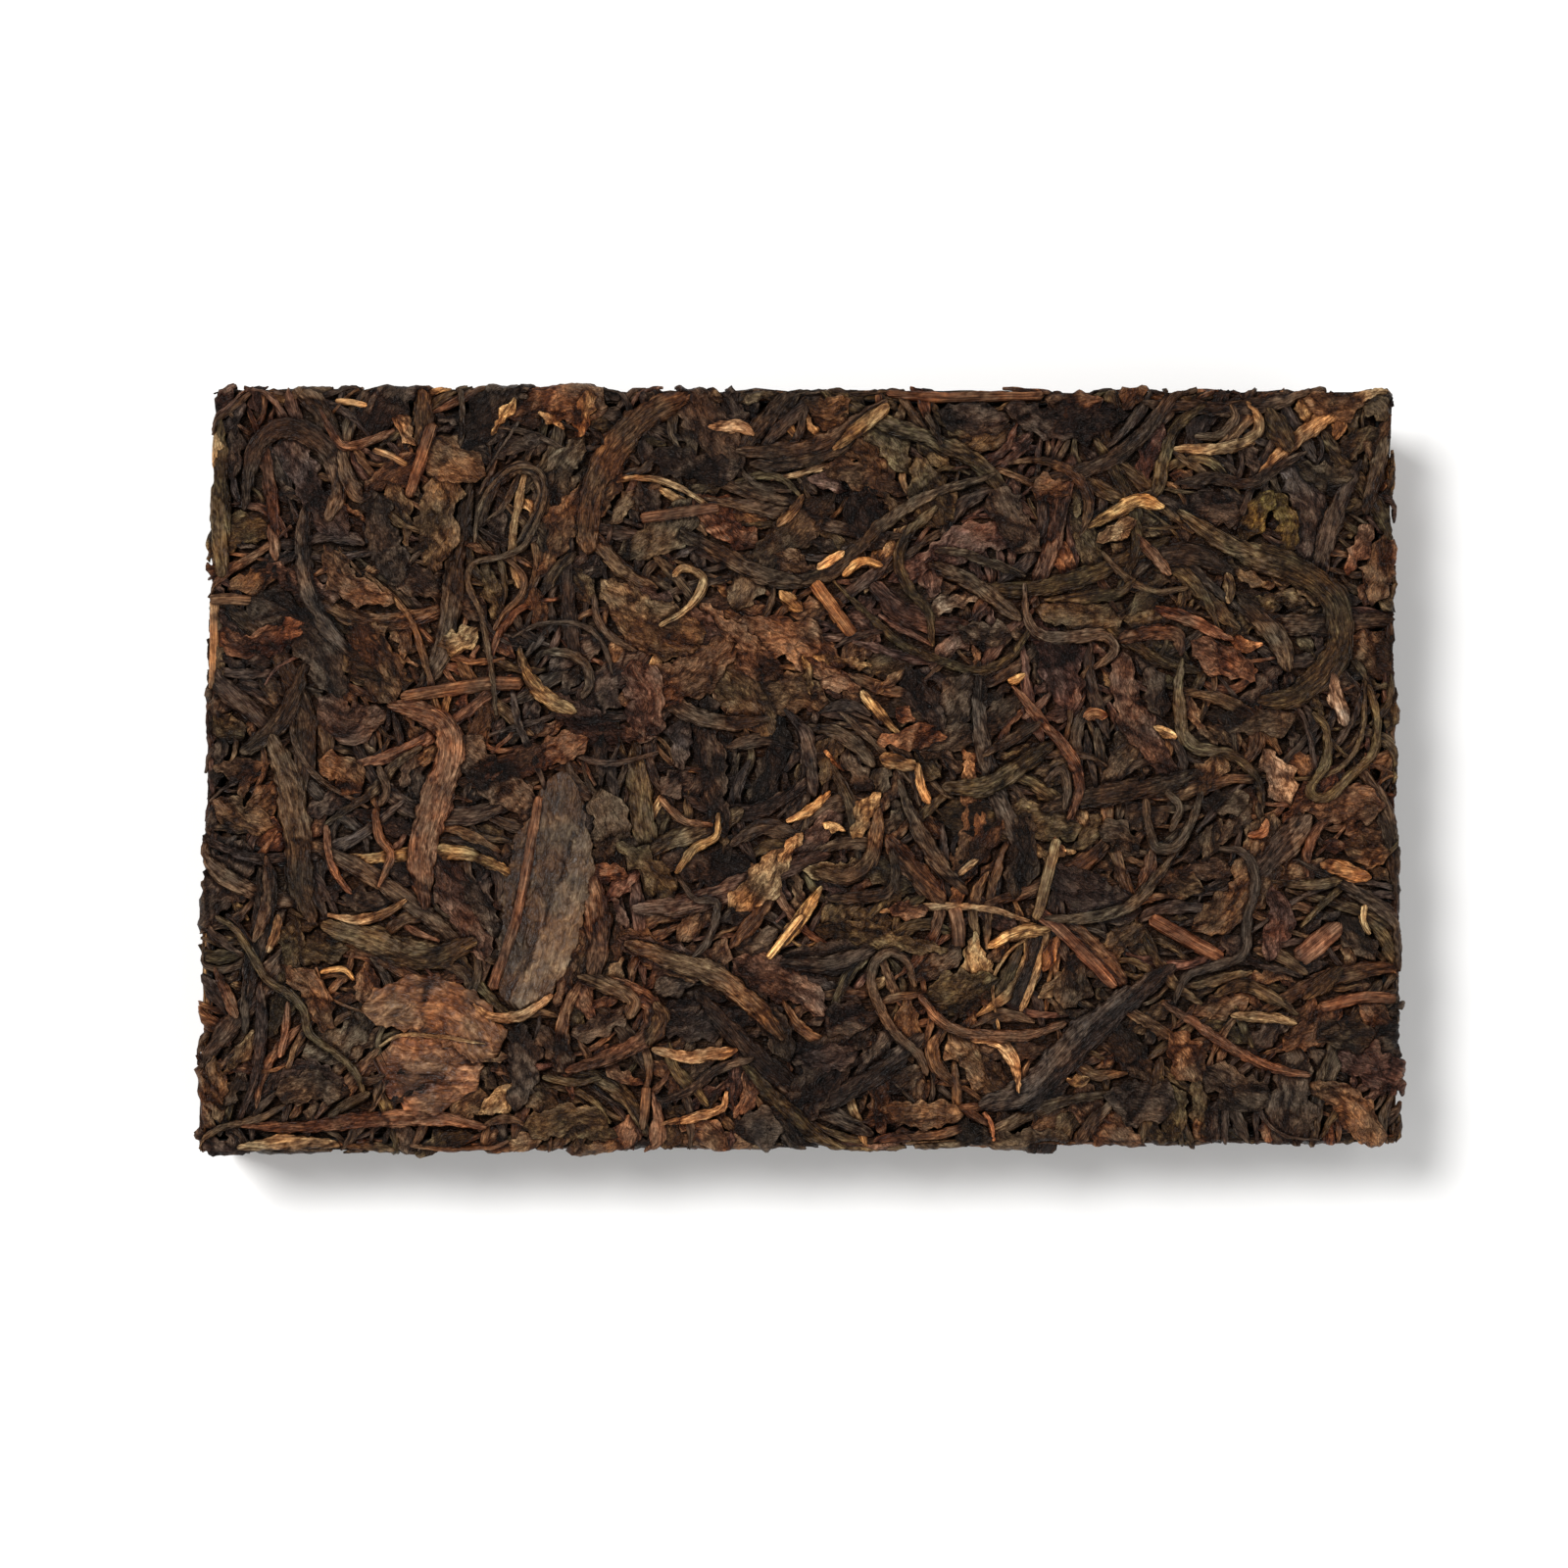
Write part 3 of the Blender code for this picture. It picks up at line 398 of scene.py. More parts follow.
    ("leaf", "rust", 5.5, (66, 19.1), (68, 23.5), (69.7, 26.4)),
    ("leaf", "olive", 5.5, (27.7, 18.3), (32.4, 17.6), (38.2, 18.4)),
    ("leaf", "pale", 5.5, (54, 1.4), (55.4, -1.2), (56.6, -4.1)),
    ("leaf", "slate", 5.5, (59.5, -31.1), (62.8, -31.5), (66.2, -31.5)),
    ("leaf", "brown", 5.5, (40.2, -12.6), (43.1, -13.5), (45.9, -14.5)),
    ("leaf", "brown", 6.0, (-56.3, 0.5), (-53.8, -0.6), (-51.8, -2.9)),
    ("leaf", "brown", 6.0, (-68.5, -4.2), (-65.3, -6), (-62.1, -7)),
    ("leaf", "black", 6.0, (-17.9, 36.6), (-12.4, 35.2), (-7.8, 34.8)),
    ("leaf", "brown", 6.0, (-21.5, -19.7), (-15.6, -22.4), (-10.2, -23.7)),
    ("leaf", "blue", 6.0, (-8.4, -42.5), (-5.7, -42.3), (-3, -42.5)),
    ("leaf", "olive", 6.0, (-32.2, -42), (-26.8, -41.1), (-22.3, -42.9)),
    ("leaf", "rust", 6.0, (45.8, 14.3), (49.1, 12.4), (52.9, 10.2)),
    ("leaf", "black", 6.0, (16.3, 41.6), (20.2, 40.7), (24, 40.7)),
    ("leaf", "olive", 6.0, (55, 23), (58.8, 22), (62.2, 20.1)),
    ("leaf", "slate", 6.0, (32.1, -22.5), (31.1, -25.3), (30.1, -28.2)),
    ("leaf", "black", 6.0, (2.2, -29), (5.1, -29.5), (7.9, -29.5)),
    ("leaf", "brown", 6.0, (42.4, -31.5), (44.3, -33.8), (46.1, -36.7)),
    ("leaf", "plum", 6.5, (-56.4, 7.6), (-53.2, 4.9), (-49.1, 6.2)),
    ("leaf", "brown", 6.5, (-42.5, 33.7), (-42.5, 28.2), (-43.4, 23.2)),
    ("leaf", "black", 6.5, (22, 32.3), (24.9, 28.2), (27.7, 25.3)),
    ("leaf", "black", 6.5, (44.1, 30.6), (47.4, 30.2), (50.8, 29.4)),
    ("leaf", "black", 7.0, (-60.5, -37), (-57.4, -36.8), (-53.8, -37.2)),
    ("leaf", "olive", 7.0, (14, -27), (17.8, -26.5), (21.8, -25.3)),
    ("leaf", "black", 7.0, (34.8, -38.5), (38.5, -39), (42.8, -39.5)),
    ("leaf", "slate", 7.0, (46.6, -35.3), (49.9, -37.6), (53.7, -39.1)),
    ("leaf", "brown", 8.0, (-21.5, 7.6), (-14.7, 9.9), (-8.8, 13.6)),
    ("leaf", "plum", 9.0, (-21.5, 20), (-16, 16.3), (-10.1, 15.4)),
]

# For each form of piece: thickness as a share of its width, the least and most thickness, the
# distance between its cross-sections and between the points across them, the width of its ends,
# how square its outline is, how round its top is, the size of its creases, their height, how far
# they turn from the piece's length, how much it wobbles, how torn its edges are, how far its
# veins show, how much painted shade its creases get, how angular its outline is, and its count of folds.
FORMS = {
    "tendril": dict(
        thick=0.7, limits=(0.6, 0.9), step=0.4, gap=0.2, tip=0.25, full=0.3, round=2.2,
        ridge=0.8, height=0.2, lean=0.12, wobble=0.22, torn=0.05, veins=0.0, crease_shade=0.5,
        angular=0.1, folds=0,
    ),
    "strand": dict(
        thick=0.4, limits=(0.6, 1.2), step=0.42, gap=0.25, tip=0.2, full=0.5, round=2.8,
        ridge=1.2, height=0.5, lean=0.1, wobble=0.22, torn=0.1, veins=0.0, crease_shade=0.95,
        angular=0.25, folds=1,
    ),
    "leaf": dict(
        thick=0.05, limits=(0.22, 0.4), step=0.4, gap=0.34, tip=0.3, full=0.5, round=4.0,
        ridge=2.7, height=0.95, lean=0.9, wobble=0.2, torn=0.7, veins=0.0, crease_shade=0.88,
        angular=0.45, folds=3,
    ),
    "blade": dict(
        thick=0.08, limits=(0.4, 0.6), step=0.42, gap=0.34, tip=0.3, full=0.55, round=3.4,
        ridge=2.2, height=0.3, lean=0.3, wobble=0.1, torn=0.2, veins=0.45, crease_shade=0.55,
        angular=0.12, folds=1,
    ),
    "veined": dict(
        thick=0.06, limits=(0.3, 0.5), step=0.35, gap=0.34, tip=0.3, full=0.45, round=3.4,
        ridge=2.3, height=0.7, lean=0.7, wobble=0.15, torn=0.6, veins=0.65, crease_shade=0.72,
        angular=0.2, folds=2,
    ),
    "stem": dict(
        thick=0.6, limits=(0.7, 1.2), step=0.6, gap=0.3, tip=0.9, full=0.3, round=2.8,
        ridge=0.7, height=0.2, lean=0.04, wobble=0.1, torn=0.05, veins=0.0, crease_shade=0.7,
        angular=0.05, folds=0,
    ),
    "small": dict(
        thick=0.35, limits=(0.4, 0.9), step=0.6, gap=0.33, tip=0.15, full=0.6, round=3.2,
        ridge=0.95, height=0.45, lean=0.16, wobble=0.3, torn=0.15, veins=0.0, crease_shade=0.9,
        angular=0.3, folds=0,
    ),
    "scrap": dict(
        thick=0.06, limits=(0.22, 0.4), step=0.5, gap=0.4, tip=0.3, full=0.6, round=4.0,
        ridge=1.9, height=0.7, lean=0.8, wobble=0.3, torn=0.7, veins=0.0, crease_shade=0.85,
        angular=0.5, folds=2,
    ),
    "side_strand": dict(
        thick=0.4, limits=(0.6, 1.1), step=1.55, gap=0.68, tip=0.25, full=0.5, round=3.0,
        ridge=1.4, height=0.45, lean=0.15, wobble=0.25, torn=0.15, veins=0.0, crease_shade=0.85,
        angular=0.25, folds=0,
    ),
    "side_leaf": dict(
        thick=0.06, limits=(0.25, 0.4), step=1.2, gap=0.88, tip=0.3, full=0.5, round=4.0,
        ridge=2.6, height=0.8, lean=0.7, wobble=0.2, torn=0.6, veins=0.0, crease_shade=0.85,
        angular=0.45, folds=2,
    ),
}
UNDER_SAMPLES = 2  # points across a leaf's underside

# The least and most length and width of the leaves that no route is given for, and how far they bend.
GROWTH = {
    "tendril": dict(length=(10, 26), width=(0.8, 1.3), bend=0.9),
    "strand": dict(length=(12, 28), width=(1.8, 3.6), bend=0.45),
    "leaf": dict(length=(8, 17), width=(4.5, 8.5), bend=0.3),
    "small": dict(length=(6, 15), width=(1.1, 2.6), bend=0.5),
    "scrap": dict(length=(4, 9), width=(2.6, 5.2), bend=0.3),
    "side_strand": dict(length=(10, 28), width=(1.8, 3.8), bend=0.45),
    "side_leaf": dict(length=(9, 19), width=(4.5, 9.0), bend=0.3),
}

# How those leaves fill each face, in stages: the share of the face that may stay open, the most
# leaves, how far a leaf turns from the face's long side, and the share of each form.
TOP_FILL = (
    dict(open=0.08, most=150, turn=180, shares={"tendril": 0.14, "strand": 0.42, "leaf": 0.44}),
    dict(open=0.006, most=1000, turn=180, shares={"small": 0.55, "scrap": 0.45}),
)
BASE_FILL = (
    dict(open=0.015, most=700, turn=180, shares={"side_strand": 0.55, "side_leaf": 0.45}),
)
SIDE_FILL = (
    dict(open=0.02, most=230, turn=16, shares={"side_strand": 0.7, "side_leaf": 0.3}),
)


def srgb(colour):
    """Linear values of an sRGB colour from 0 to 255."""
    c = np.asarray(colour, float) / 255
    return np.where(c <= 0.04045, c / 12.92, ((c + 0.055) / 1.055) ** 2.4)


class Face:
    """One face of the brick, as a chart: s along it, t up it, and a depth below the mould's face."""

    def __init__(self, corners, centre, along, up, rng):
        self.corners = corners
        self.centre = np.array(centre)
        self.along = np.array(along)
        self.up = np.array(up)
        self.normal = np.cross(self.along, self.up)
        self.half_s = max(abs(c[0]) for c in corners) + OVERHANG
        self.half_t = max(abs(c[1]) for c in corners) + OVERHANG
        self.s_axis = np.arange(-self.half_s, self.half_s, GRID)
        self.t_axis = np.arange(-self.half_t, self.half_t, GRID)
        s, t = np.meshgrid(self.s_axis, self.t_axis)
        self.relief = UNEVEN * smooth_noise(s, t, rng, 14)
        self.taken = np.full(s.shape, OPEN)
        self.ceiling = self.taken.copy()
        self.inside = self.inset(s, t)[0] > 0
        self.covered = ~self.inside

    def edges(self):
        """The start of each edge of the outline, and its direction."""
        for a, b in zip(self.corners, self.corners[1:] + self.corners[:1]):
            yield a, (b - a) / np.linalg.norm(b - a)

    def inset(self, s, t):
        """How far inside the face's outline a point lies, and the way in from the nearest edge."""
        found, way_s, way_t = None, None, None
        for a, run in self.edges():
            away = (t - a[1]) * run[0] - (s - a[0]) * run[1]
            if found is None:
                found = away
                way_s, way_t = np.full(np.shape(away), -run[1]), np.full(np.shape(away), run[0])
            else:
                nearer = away < found
                found = np.where(nearer, away, found)
                way_s = np.where(nearer, -run[1], way_s)
                way_t = np.where(nearer, run[0], way_t)
        return found, way_s, way_t

    def off_the_corners(self, s, t):
        """Points moved so that they reach past one edge of the outline at most."""
        nearest = self.inset(s, t)[0]
        for a, run in self.edges():
            away = (t - a[1]) * run[0] - (s - a[0]) * run[1]
            push = np.where((away > nearest + 1e-9) & (away < EDGE_RADIUS), EDGE_RADIUS - away, 0)
            s, t = s - run[1] * push, t + run[0] * push
        return s, t

    def cell(self, s, t):
        """The grid cell of a point."""
        i = np.clip(((s + self.half_s) / GRID + 0.5).astype(int), 0, len(self.s_axis) - 1)
        j = np.clip(((t + self.half_t) / GRID + 0.5).astype(int), 0, len(self.t_axis) - 1)
        return j, i

    def between(self, grid, s, t):
        """A grid's value at a point, between its cells."""
        x = np.clip((s + self.half_s) / GRID, 0, len(self.s_axis) - 1.001)
        y = np.clip((t + self.half_t) / GRID, 0, len(self.t_axis) - 1.001)
        i, j = x.astype(int), y.astype(int)
        x, y = x - i, y - j
        low = grid[j, i] * (1 - x) + grid[j, i + 1] * x
        high = grid[j + 1, i] * (1 - x) + grid[j + 1, i + 1] * x
        return low * (1 - y) + high * y

    def claim(self, s, t, depth, full):
        """Marks where a leaf lies, so that later leaves go under it, and where it covers the face."""
        cells = self.cell(s, t)
        np.maximum.at(self.taken, cells, depth)
        self.covered[cells[0][:, full], cells[1][:, full]] = True
        j0, j1 = max(cells[0].min() - 3, 0), cells[0].max() + 4
        i0, i1 = max(cells[1].min() - 3, 0), cells[1].max() + 4
        window = self.taken[j0:j1, i0:i1]
        for _ in range(2):
            padded = np.pad(window, 1, mode="edge")
            window = (padded[:-2] + padded[1:-1] + padded[2:])[:, 1:-1] / 3
            padded = np.pad(window, 1, mode="edge")
            window = (padded[:, :-2] + padded[:, 1:-1] + padded[:, 2:])[1:-1] / 3
        self.ceiling[j0:j1, i0:i1] = np.maximum(self.ceiling[j0:j1, i0:i1], window)

    def world(self, s, t, depth):
        """Points in the row frame, in metres. What reaches past the outline bends round the edge."""
        s, t = self.off_the_corners(s, t)
        inside, way_s, way_t = self.inset(s, t)
        past = np.clip(EDGE_RADIUS - inside, 0, None)
        angle = np.clip(past / EDGE_RADIUS, 0, math.pi / 2)
        arm = EDGE_RADIUS - depth
        new_inside = np.where(past > 0, EDGE_RADIUS - arm * np.sin(angle), inside)
        new_depth = np.where(past > 0, EDGE_RADIUS - arm * np.cos(angle), depth)
        new_depth = new_depth + np.clip(past - EDGE_RADIUS * math.pi / 2, 0, None)
        s = s + way_s * (new_inside - inside)
        t = t + way_t * (new_inside - inside)
        s, t, new_depth = s[..., None], t[..., None], new_depth[..., None]
        return (self.centre + self.along * s + self.up * t - self.normal * new_depth) * MM


def flat_face(facing, height, rng):
    """The brick's top, facing 1, or its base, facing -1."""
    corners = [np.array(c) * (facing, 1) for c in (FRONT_LEFT, FRONT_RIGHT, BACK_RIGHT, BACK_LEFT)]
    if facing < 0:
        corners = [corners[i] for i in (1, 0, 3, 2)]
    face = Face(corners, (0.0, 0.0, height), (float(facing), 0.0, 0.0), (0.0, 1.0, 0.0), rng)
    if facing < 0:
        face.relief += BASE_SINK
    return face


def side_face(start, end, low, high, rng):
    """A side that stands on the line from start to end."""
    a, b = np.array(start, float), np.array(end, float)
    run = np.linalg.norm(b - a)
    half = np.array((run / 2, (high - low) / 2))
    corners = [half * sign for sign in ((-1, -1), (1, -1), (1, 1), (-1, 1))]
    centre = np.append((a + b) / 2, (low + high) / 2)
    along = np.append((b - a) / run, 0.0)
    face = Face(corners, centre, along, (0.0, 0.0, 1.0), rng)
    face.relief += SIDE_SINK
    return face


def smooth_noise(s, t, rng, size):
    """Smooth values from 0 to 1 over a plane, with bumps of about the given size."""
    total = np.zeros(np.shape(s))
    for k in range(6):
        angle, phase = rng.uniform(0, 2 * math.pi, 2)
        wave = 2 * math.pi / (size * rng.uniform(0.7, 1.6))
        total = total + np.sin((s * math.cos(angle) + t * math.sin(angle)) * wave + phase)
    return 0.5 + total / 12


def wave_along(x, rng, length, octaves=3):
    """Uneven values of about -1 to 1 along a line, with bumps of about the given length."""
    total = np.zeros(np.shape(x))
    weight = 1.0
    for _ in range(octaves):
        stretch = length * rng.uniform(0.7, 1.4)
        total = total + weight * np.sin(x * 2 * math.pi / stretch + rng.uniform(0, 6.3))
        weight *= 0.55
        length *= 0.5
    return total / 1.85


def creases(u, v, rng, size, lean):
    """Rounded ridges from 0 to 1 with sharp creases between them, mostly along u, some mm apart."""
    total = 0.0
    whole = 0.0
    weight = 1.0
    for _ in range(3):
        angle = rng.normal(0, lean)
        across = v * math.cos(angle) - u * math.sin(angle)
        bend = 1.4 * wave_along(u + 0.4 * v, rng, size * 4, 2) + wave_along(v - 0.5 * u, rng, size * 2.6, 2)
        phase = rng.uniform(0, 3.1)
        total = total + weight * np.abs(np.sin(math.pi * (across / size + 0.45 * bend) + phase))
        whole += weight
        weight *= 0.55
        size *= 0.55
    smooth = 0.55 + 0.8 * wave_along(u - 0.3 * v, rng, size * 30) + 0.5 * wave_along(v, rng, size * 24)
    return 1 - (1 - total / whole) * (0.7 + 0.3 * smooth.clip(0, 1))


def folds(u, v, width, rng, count):
    """Which side of a leaf's folds is higher, from -1 to 1 for each, and the hollow beside a fold, where
    painted shade goes.
    """
    higher, hollow = 0.0 * u, 0.0 * u
    for _ in range(count):
        angle = rng.uniform(0, 2 * math.pi)
        middle = (rng.uniform(u.min(), u.max()), rng.uniform(-0.3, 0.3) * width)
        away = (u - middle[0]) * math.cos(angle) + (v - middle[1]) * math.sin(angle)
        away = away + 0.5 * wave_along(u - v, rng, 6, 2)
        higher = higher + np.tanh(away / 0.2)
        hollow = np.maximum(hollow, np.exp(-((away / 0.22 + 0.7) ** 2)))
    return higher, hollow


def veins(u, v, rng):
    """A leaf's midrib and the veins that branch from it, from 0 to 1."""
    side = np.abs(v)
    slant = (u - 0.9 * side + 0.4 * wave_along(v, rng, 4)) / 1.7
    branch = np.exp(-(((slant % 1) - 0.5) / 0.16) ** 2)
    rib = np.exp(-((v / 0.4) ** 2))
    return np.maximum(0.35 + 0.3 * branch, rib)


class Batch:
    """The joined mesh of many leaves, with each point's tone, painted light and shade, and place on its
    leaf.
    """

    def __init__(self, name, material):
        self.name = name
        self.material = material
        self.parts = {"points": [], "quads": [], "triangles": [], "tones": [], "painted_light": [], "places": []}
        self.count = 0

    def add(self, points, quads, triangles, tones, painted_light, places):
        """Adds one leaf's mesh."""
        for key, values in (
            ("points", points),
            ("quads", quads + self.count),
            ("triangles", triangles + self.count),
            ("tones", tones),
            ("painted_light", painted_light),
            ("places", places),
        ):
            self.parts[key].append(values)
        self.count += len(points)

    def build(self):
        """Makes the object, and rides it on the brick's body."""
        whole = {key: np.concatenate(values) for key, values in self.parts.items()}
        quads, triangles = whole["quads"], whole["triangles"]
        mesh = bpy.data.meshes.new(self.name)
        mesh.vertices.add(len(whole["points"]))
        mesh.vertices.foreach_set("co", whole["points"].astype(np.float32).ravel())
        corners = np.concatenate([quads.ravel(), triangles.ravel()]).astype(np.int32)
        mesh.loops.add(len(corners))
        mesh.loops.foreach_set("vertex_index", corners)
        mesh.polygons.add(len(quads) + len(triangles))
        starts = np.concatenate([np.arange(len(quads)) * 4, len(quads) * 4 + np.arange(len(triangles)) * 3])
        mesh.polygons.foreach_set("loop_start", starts.astype(np.int32))
        mesh.update(calc_edges=True)
        mesh.validate()
        tone = mesh.attributes.new("tone", "FLOAT_COLOR", "POINT")
        colours = np.hstack([whole["tones"], np.ones((self.count, 1))])
        tone.data.foreach_set("color", colours.astype(np.float32).ravel())
        # The crest attribute holds each point's painted light and shade.
        crest = mesh.attributes.new("crest", "FLOAT", "POINT")
        crest.data.foreach_set("value", whole["painted_light"].astype(np.float32))
        place = mesh.attributes.new("place", "FLOAT_VECTOR", "POINT")
        place.data.foreach_set("vector", whole["places"].astype(np.float32).ravel())
        mesh.shade_smooth()
        mesh.materials.append(self.material)
        thing = bpy.data.objects.new(self.name, mesh)
        bpy.context.scene.collection.objects.link(thing)
        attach(thing, BODY)
        print(self.name, "triangles", len(quads) * 2 + len(triangles))
        return thing


def smooth_route(points, gap):
    """Points a gap apart along a smooth curve through the route's own points."""
    points = np.asarray(points, float)
    ends = np.vstack([points[0] * 2 - points[1], points, points[-1] * 2 - points[-2]])
    curve = []
    for a, b, c, d in zip(ends, ends[1:], ends[2:], ends[3:]):
        t = np.linspace(0, 1, 24, endpoint=False)[:, None]
        curve.append(
            (b * 2 + (c - a) * t + (a * 2 - b * 5 + c * 4 - d) * t**2 + (b * 3 - a - c * 3 + d) * t**3) / 2
        )
    curve = np.vstack([*curve, points[-1:]])
    run = np.concatenate([[0], np.cumsum(np.linalg.norm(np.diff(curve, axis=0), axis=1))])
    stations = np.linspace(0, run[-1], max(4, round(run[-1] / gap) + 1))
    return np.stack([np.interp(stations, run, curve[:, k]) for k in (0, 1)], 1), stations


def lay(face, batch, form, tone, width, route, rng, sink=0.0):
    """Lays one leaf on a face, pressed against the mould and under the leaves that already lie there."""
    rule = FORMS[form]
    line, run = smooth_route(route, rule["step"])
    n = len(line)
    ahead = np.gradient(line, axis=0)
    ahead /= np.linalg.norm(ahead, axis=1)[:, None]
    side = np.stack([-ahead[:, 1], ahead[:, 0]], 1)
    x = run / run[-1]
    tips = np.clip(rule["tip"] * rng.uniform(0.5, 1.7, 2), 0, 0.95)
    tip = tips[0] * (1 - x) + tips[1] * x
    share = tip + (1 - tip) * np.sin(math.pi * x ** rng.uniform(0.75, 1.35)).clip(0) ** rule["full"]
    thick = np.clip(width * rule["thick"], *rule["limits"]) * share**0.6
    half = width / 2 * share
    reach = []
    for _ in range(2):
        uneven = 0.7 * wave_along(run, rng, 7) + 0.5 * wave_along(run, rng, 2.6)
        edge = half * (1 + rule["wobble"] * uneven)
        edge = edge * np.interp(x, np.linspace(0, 1, 7), rng.uniform(1 - rule["angular"], 1, 7))
        edge = edge - rule["torn"] * np.abs(wave_along(run, rng, 4.5, 2))
        reach.append(edge.clip(0.2))

    def spots(across):
        """Chart positions across the leaf at each station."""
        out = np.where(across[None, :] < 0, across * reach[0][:, None], across * reach[1][:, None])
        return line[:, 0:1] + side[:, 0:1] * out, line[:, 1:2] + side[:, 1:2] * out, out

    top_count = max(5, round(width / rule["gap"]) + 2)
    across = -np.cos(np.linspace(0, math.pi, top_count))
    bulge = (1 - np.abs(across) ** rule["round"]).clip(0) ** (1 / rule["round"])
    s, t, out = spots(across)
    ground = face.between(face.relief, line[:, 0], line[:, 1]) + sink + 0.12 * wave_along(run, rng, 9)

    along = run[:, None] + 0.0 * out
    crest = creases(along, out, rng, rule["ridge"] * rng.uniform(0.8, 1.25), rule["lean"])
    if rule["veins"]:
        crest = crest * (1 - rule["veins"]) + veins(along, out, rng) * rule["veins"]
    higher, hollow = folds(along, out, width, rng, rule["folds"])
    lift = (crest - 0.55) * rule["height"] * rng.uniform(0.5, 1.2) * (0.35 + 0.65 * bulge[None, :])
    lift = FOLD_HEIGHT * higher + lift
    rough = 0.06 * wave_along(along + 0.7 * out, rng, 1.9)
    depth = ground[:, None] + thick[:, None] * (1 - 0.92 * bulge[None, :]) - lift + rough
    pressed = face.between(face.ceiling, s, t)
    depth = np.maximum(depth, pressed)
    # Painted shade: a leaf is darker down its flanks, deeper below its top, and close to a leaf that
    # presses on it.
    shade = (1 - (depth - ground[:, None]) / SHADE_DEPTH).clip(0, 1)
    # This relief is painted shade in the creases and in the hollow beside each fold, and painted light on a
    # fold's upper side.
    relief = (1 - rule["crease_shade"] * (1 - crest)) * (1 - FOLD_PAINTED_SHADE * hollow) * (1 + FOLD_PAINTED_LIGHT * higher)
    shade *= ((depth - pressed) / SHADE_REACH).clip(0, 1)

    below = np.linspace(0.75, -0.75, UNDER_SAMPLES)
    s_below, t_below, out_below = spots(below)
    depth_below = np.maximum(ground + thick * 1.15, depth.max(axis=1) + 0.1)
    depth_below = np.repeat(depth_below[:, None], UNDER_SAMPLES, 1)
    depth_below = np.maximum(depth_below, face.between(face.ceiling, s_below, t_below) + 0.3)

    ring_s, ring_t = np.hstack([s, s_below]), np.hstack([t, t_below])
    points = face.world(ring_s, ring_t, np.hstack([depth, depth_below])).reshape(-1, 3)
    ring = ring_s.shape[1]
    ends = []
    for i, push in ((0, -1), (n - 1, 1)):
        end = line[i] + ahead[i] * push * half[i] * 0.6
        low = max(ground[i] + thick[i] * 0.55, face.between(face.ceiling, end[0:1], end[1:2])[0] + 0.1)
        ends.append(face.world(end[0:1], end[1:2], np.array([low]))[0])
    points = np.vstack([points, ends])
    quads, triangles = tube_faces(n, ring)

    base = srgb(TONES[tone]) * rng.uniform(0.8, 1.2) * rng.uniform(0.95, 1.05, 3)
    fade = 1 + 0.2 * wave_along(run, rng, 8)
    tones = np.repeat(fade[:, None], ring, 1)[..., None] * base
    tones = np.vstack([tones.reshape(-1, 3), base, base])
    # Painted light and shade for the crest attribute; the underside gets none and is painted dark, the two
    # end points get 0.4.
    light = (LEAST_LIGHT + (1 - LEAST_LIGHT) * shade) * relief * 1.1
    painted_light = np.append(np.hstack([light, np.zeros((n, UNDER_SAMPLES))]).ravel(), (0.4, 0.4))
    offset = rng.uniform(0, 500, 2)
    u = np.repeat(run[:, None], ring, 1)
    places = np.stack([u + offset[0], np.hstack([out, out_below]) + offset[1], np.zeros_like(u)], -1)
    places = places.reshape(-1, 3)
    places = np.vstack([places, places[:1], places[-1:]])
    batch.add(points, quads, triangles, tones, painted_light, places)

    fine = np.linspace(0, n - 1, n * 3)
    a = np.linspace(-0.96, 0.96, max(5, int(max(reach[0].max(), reach[1].max()) * 2 / 0.13)))
    s, t, _ = spots(a)
    rounded = (1 - np.abs(a) ** rule["round"]) ** (1 / rule["round"])
    under = ground[:, None] + thick[:, None] * (1.35 - 0.92 * rounded[None, :]) + 0.25 * rule["height"]
    index = np.arange(n)
    s, t, under = [
        np.stack([np.interp(fine, index, column) for column in grid.T], 1) for grid in (s, t, under)
    ]
    face.claim(s, t, under, np.abs(a) < COVERS)


def tube_faces(n, ring):
    """The faces of a closed tube of n rings, with a point at each end."""
    i, k = np.meshgrid(np.arange(n - 1), np.arange(ring), indexing="ij")
    m = (k + 1) % ring
    quads = np.stack([i * ring + k, (i + 1) * ring + k, (i + 1) * ring + m, i * ring + m], -1)
    quads = quads.reshape(-1, 4)
    k = np.arange(ring)
    m = (k + 1) % ring
    last = (n - 1) * ring
    first_cap = np.stack([np.full(ring, n * ring), k, m], 1)
    last_cap = np.stack([np.full(ring, n * ring + 1), last + m, last + k], 1)
    return quads, np.vstack([first_cap, last_cap])


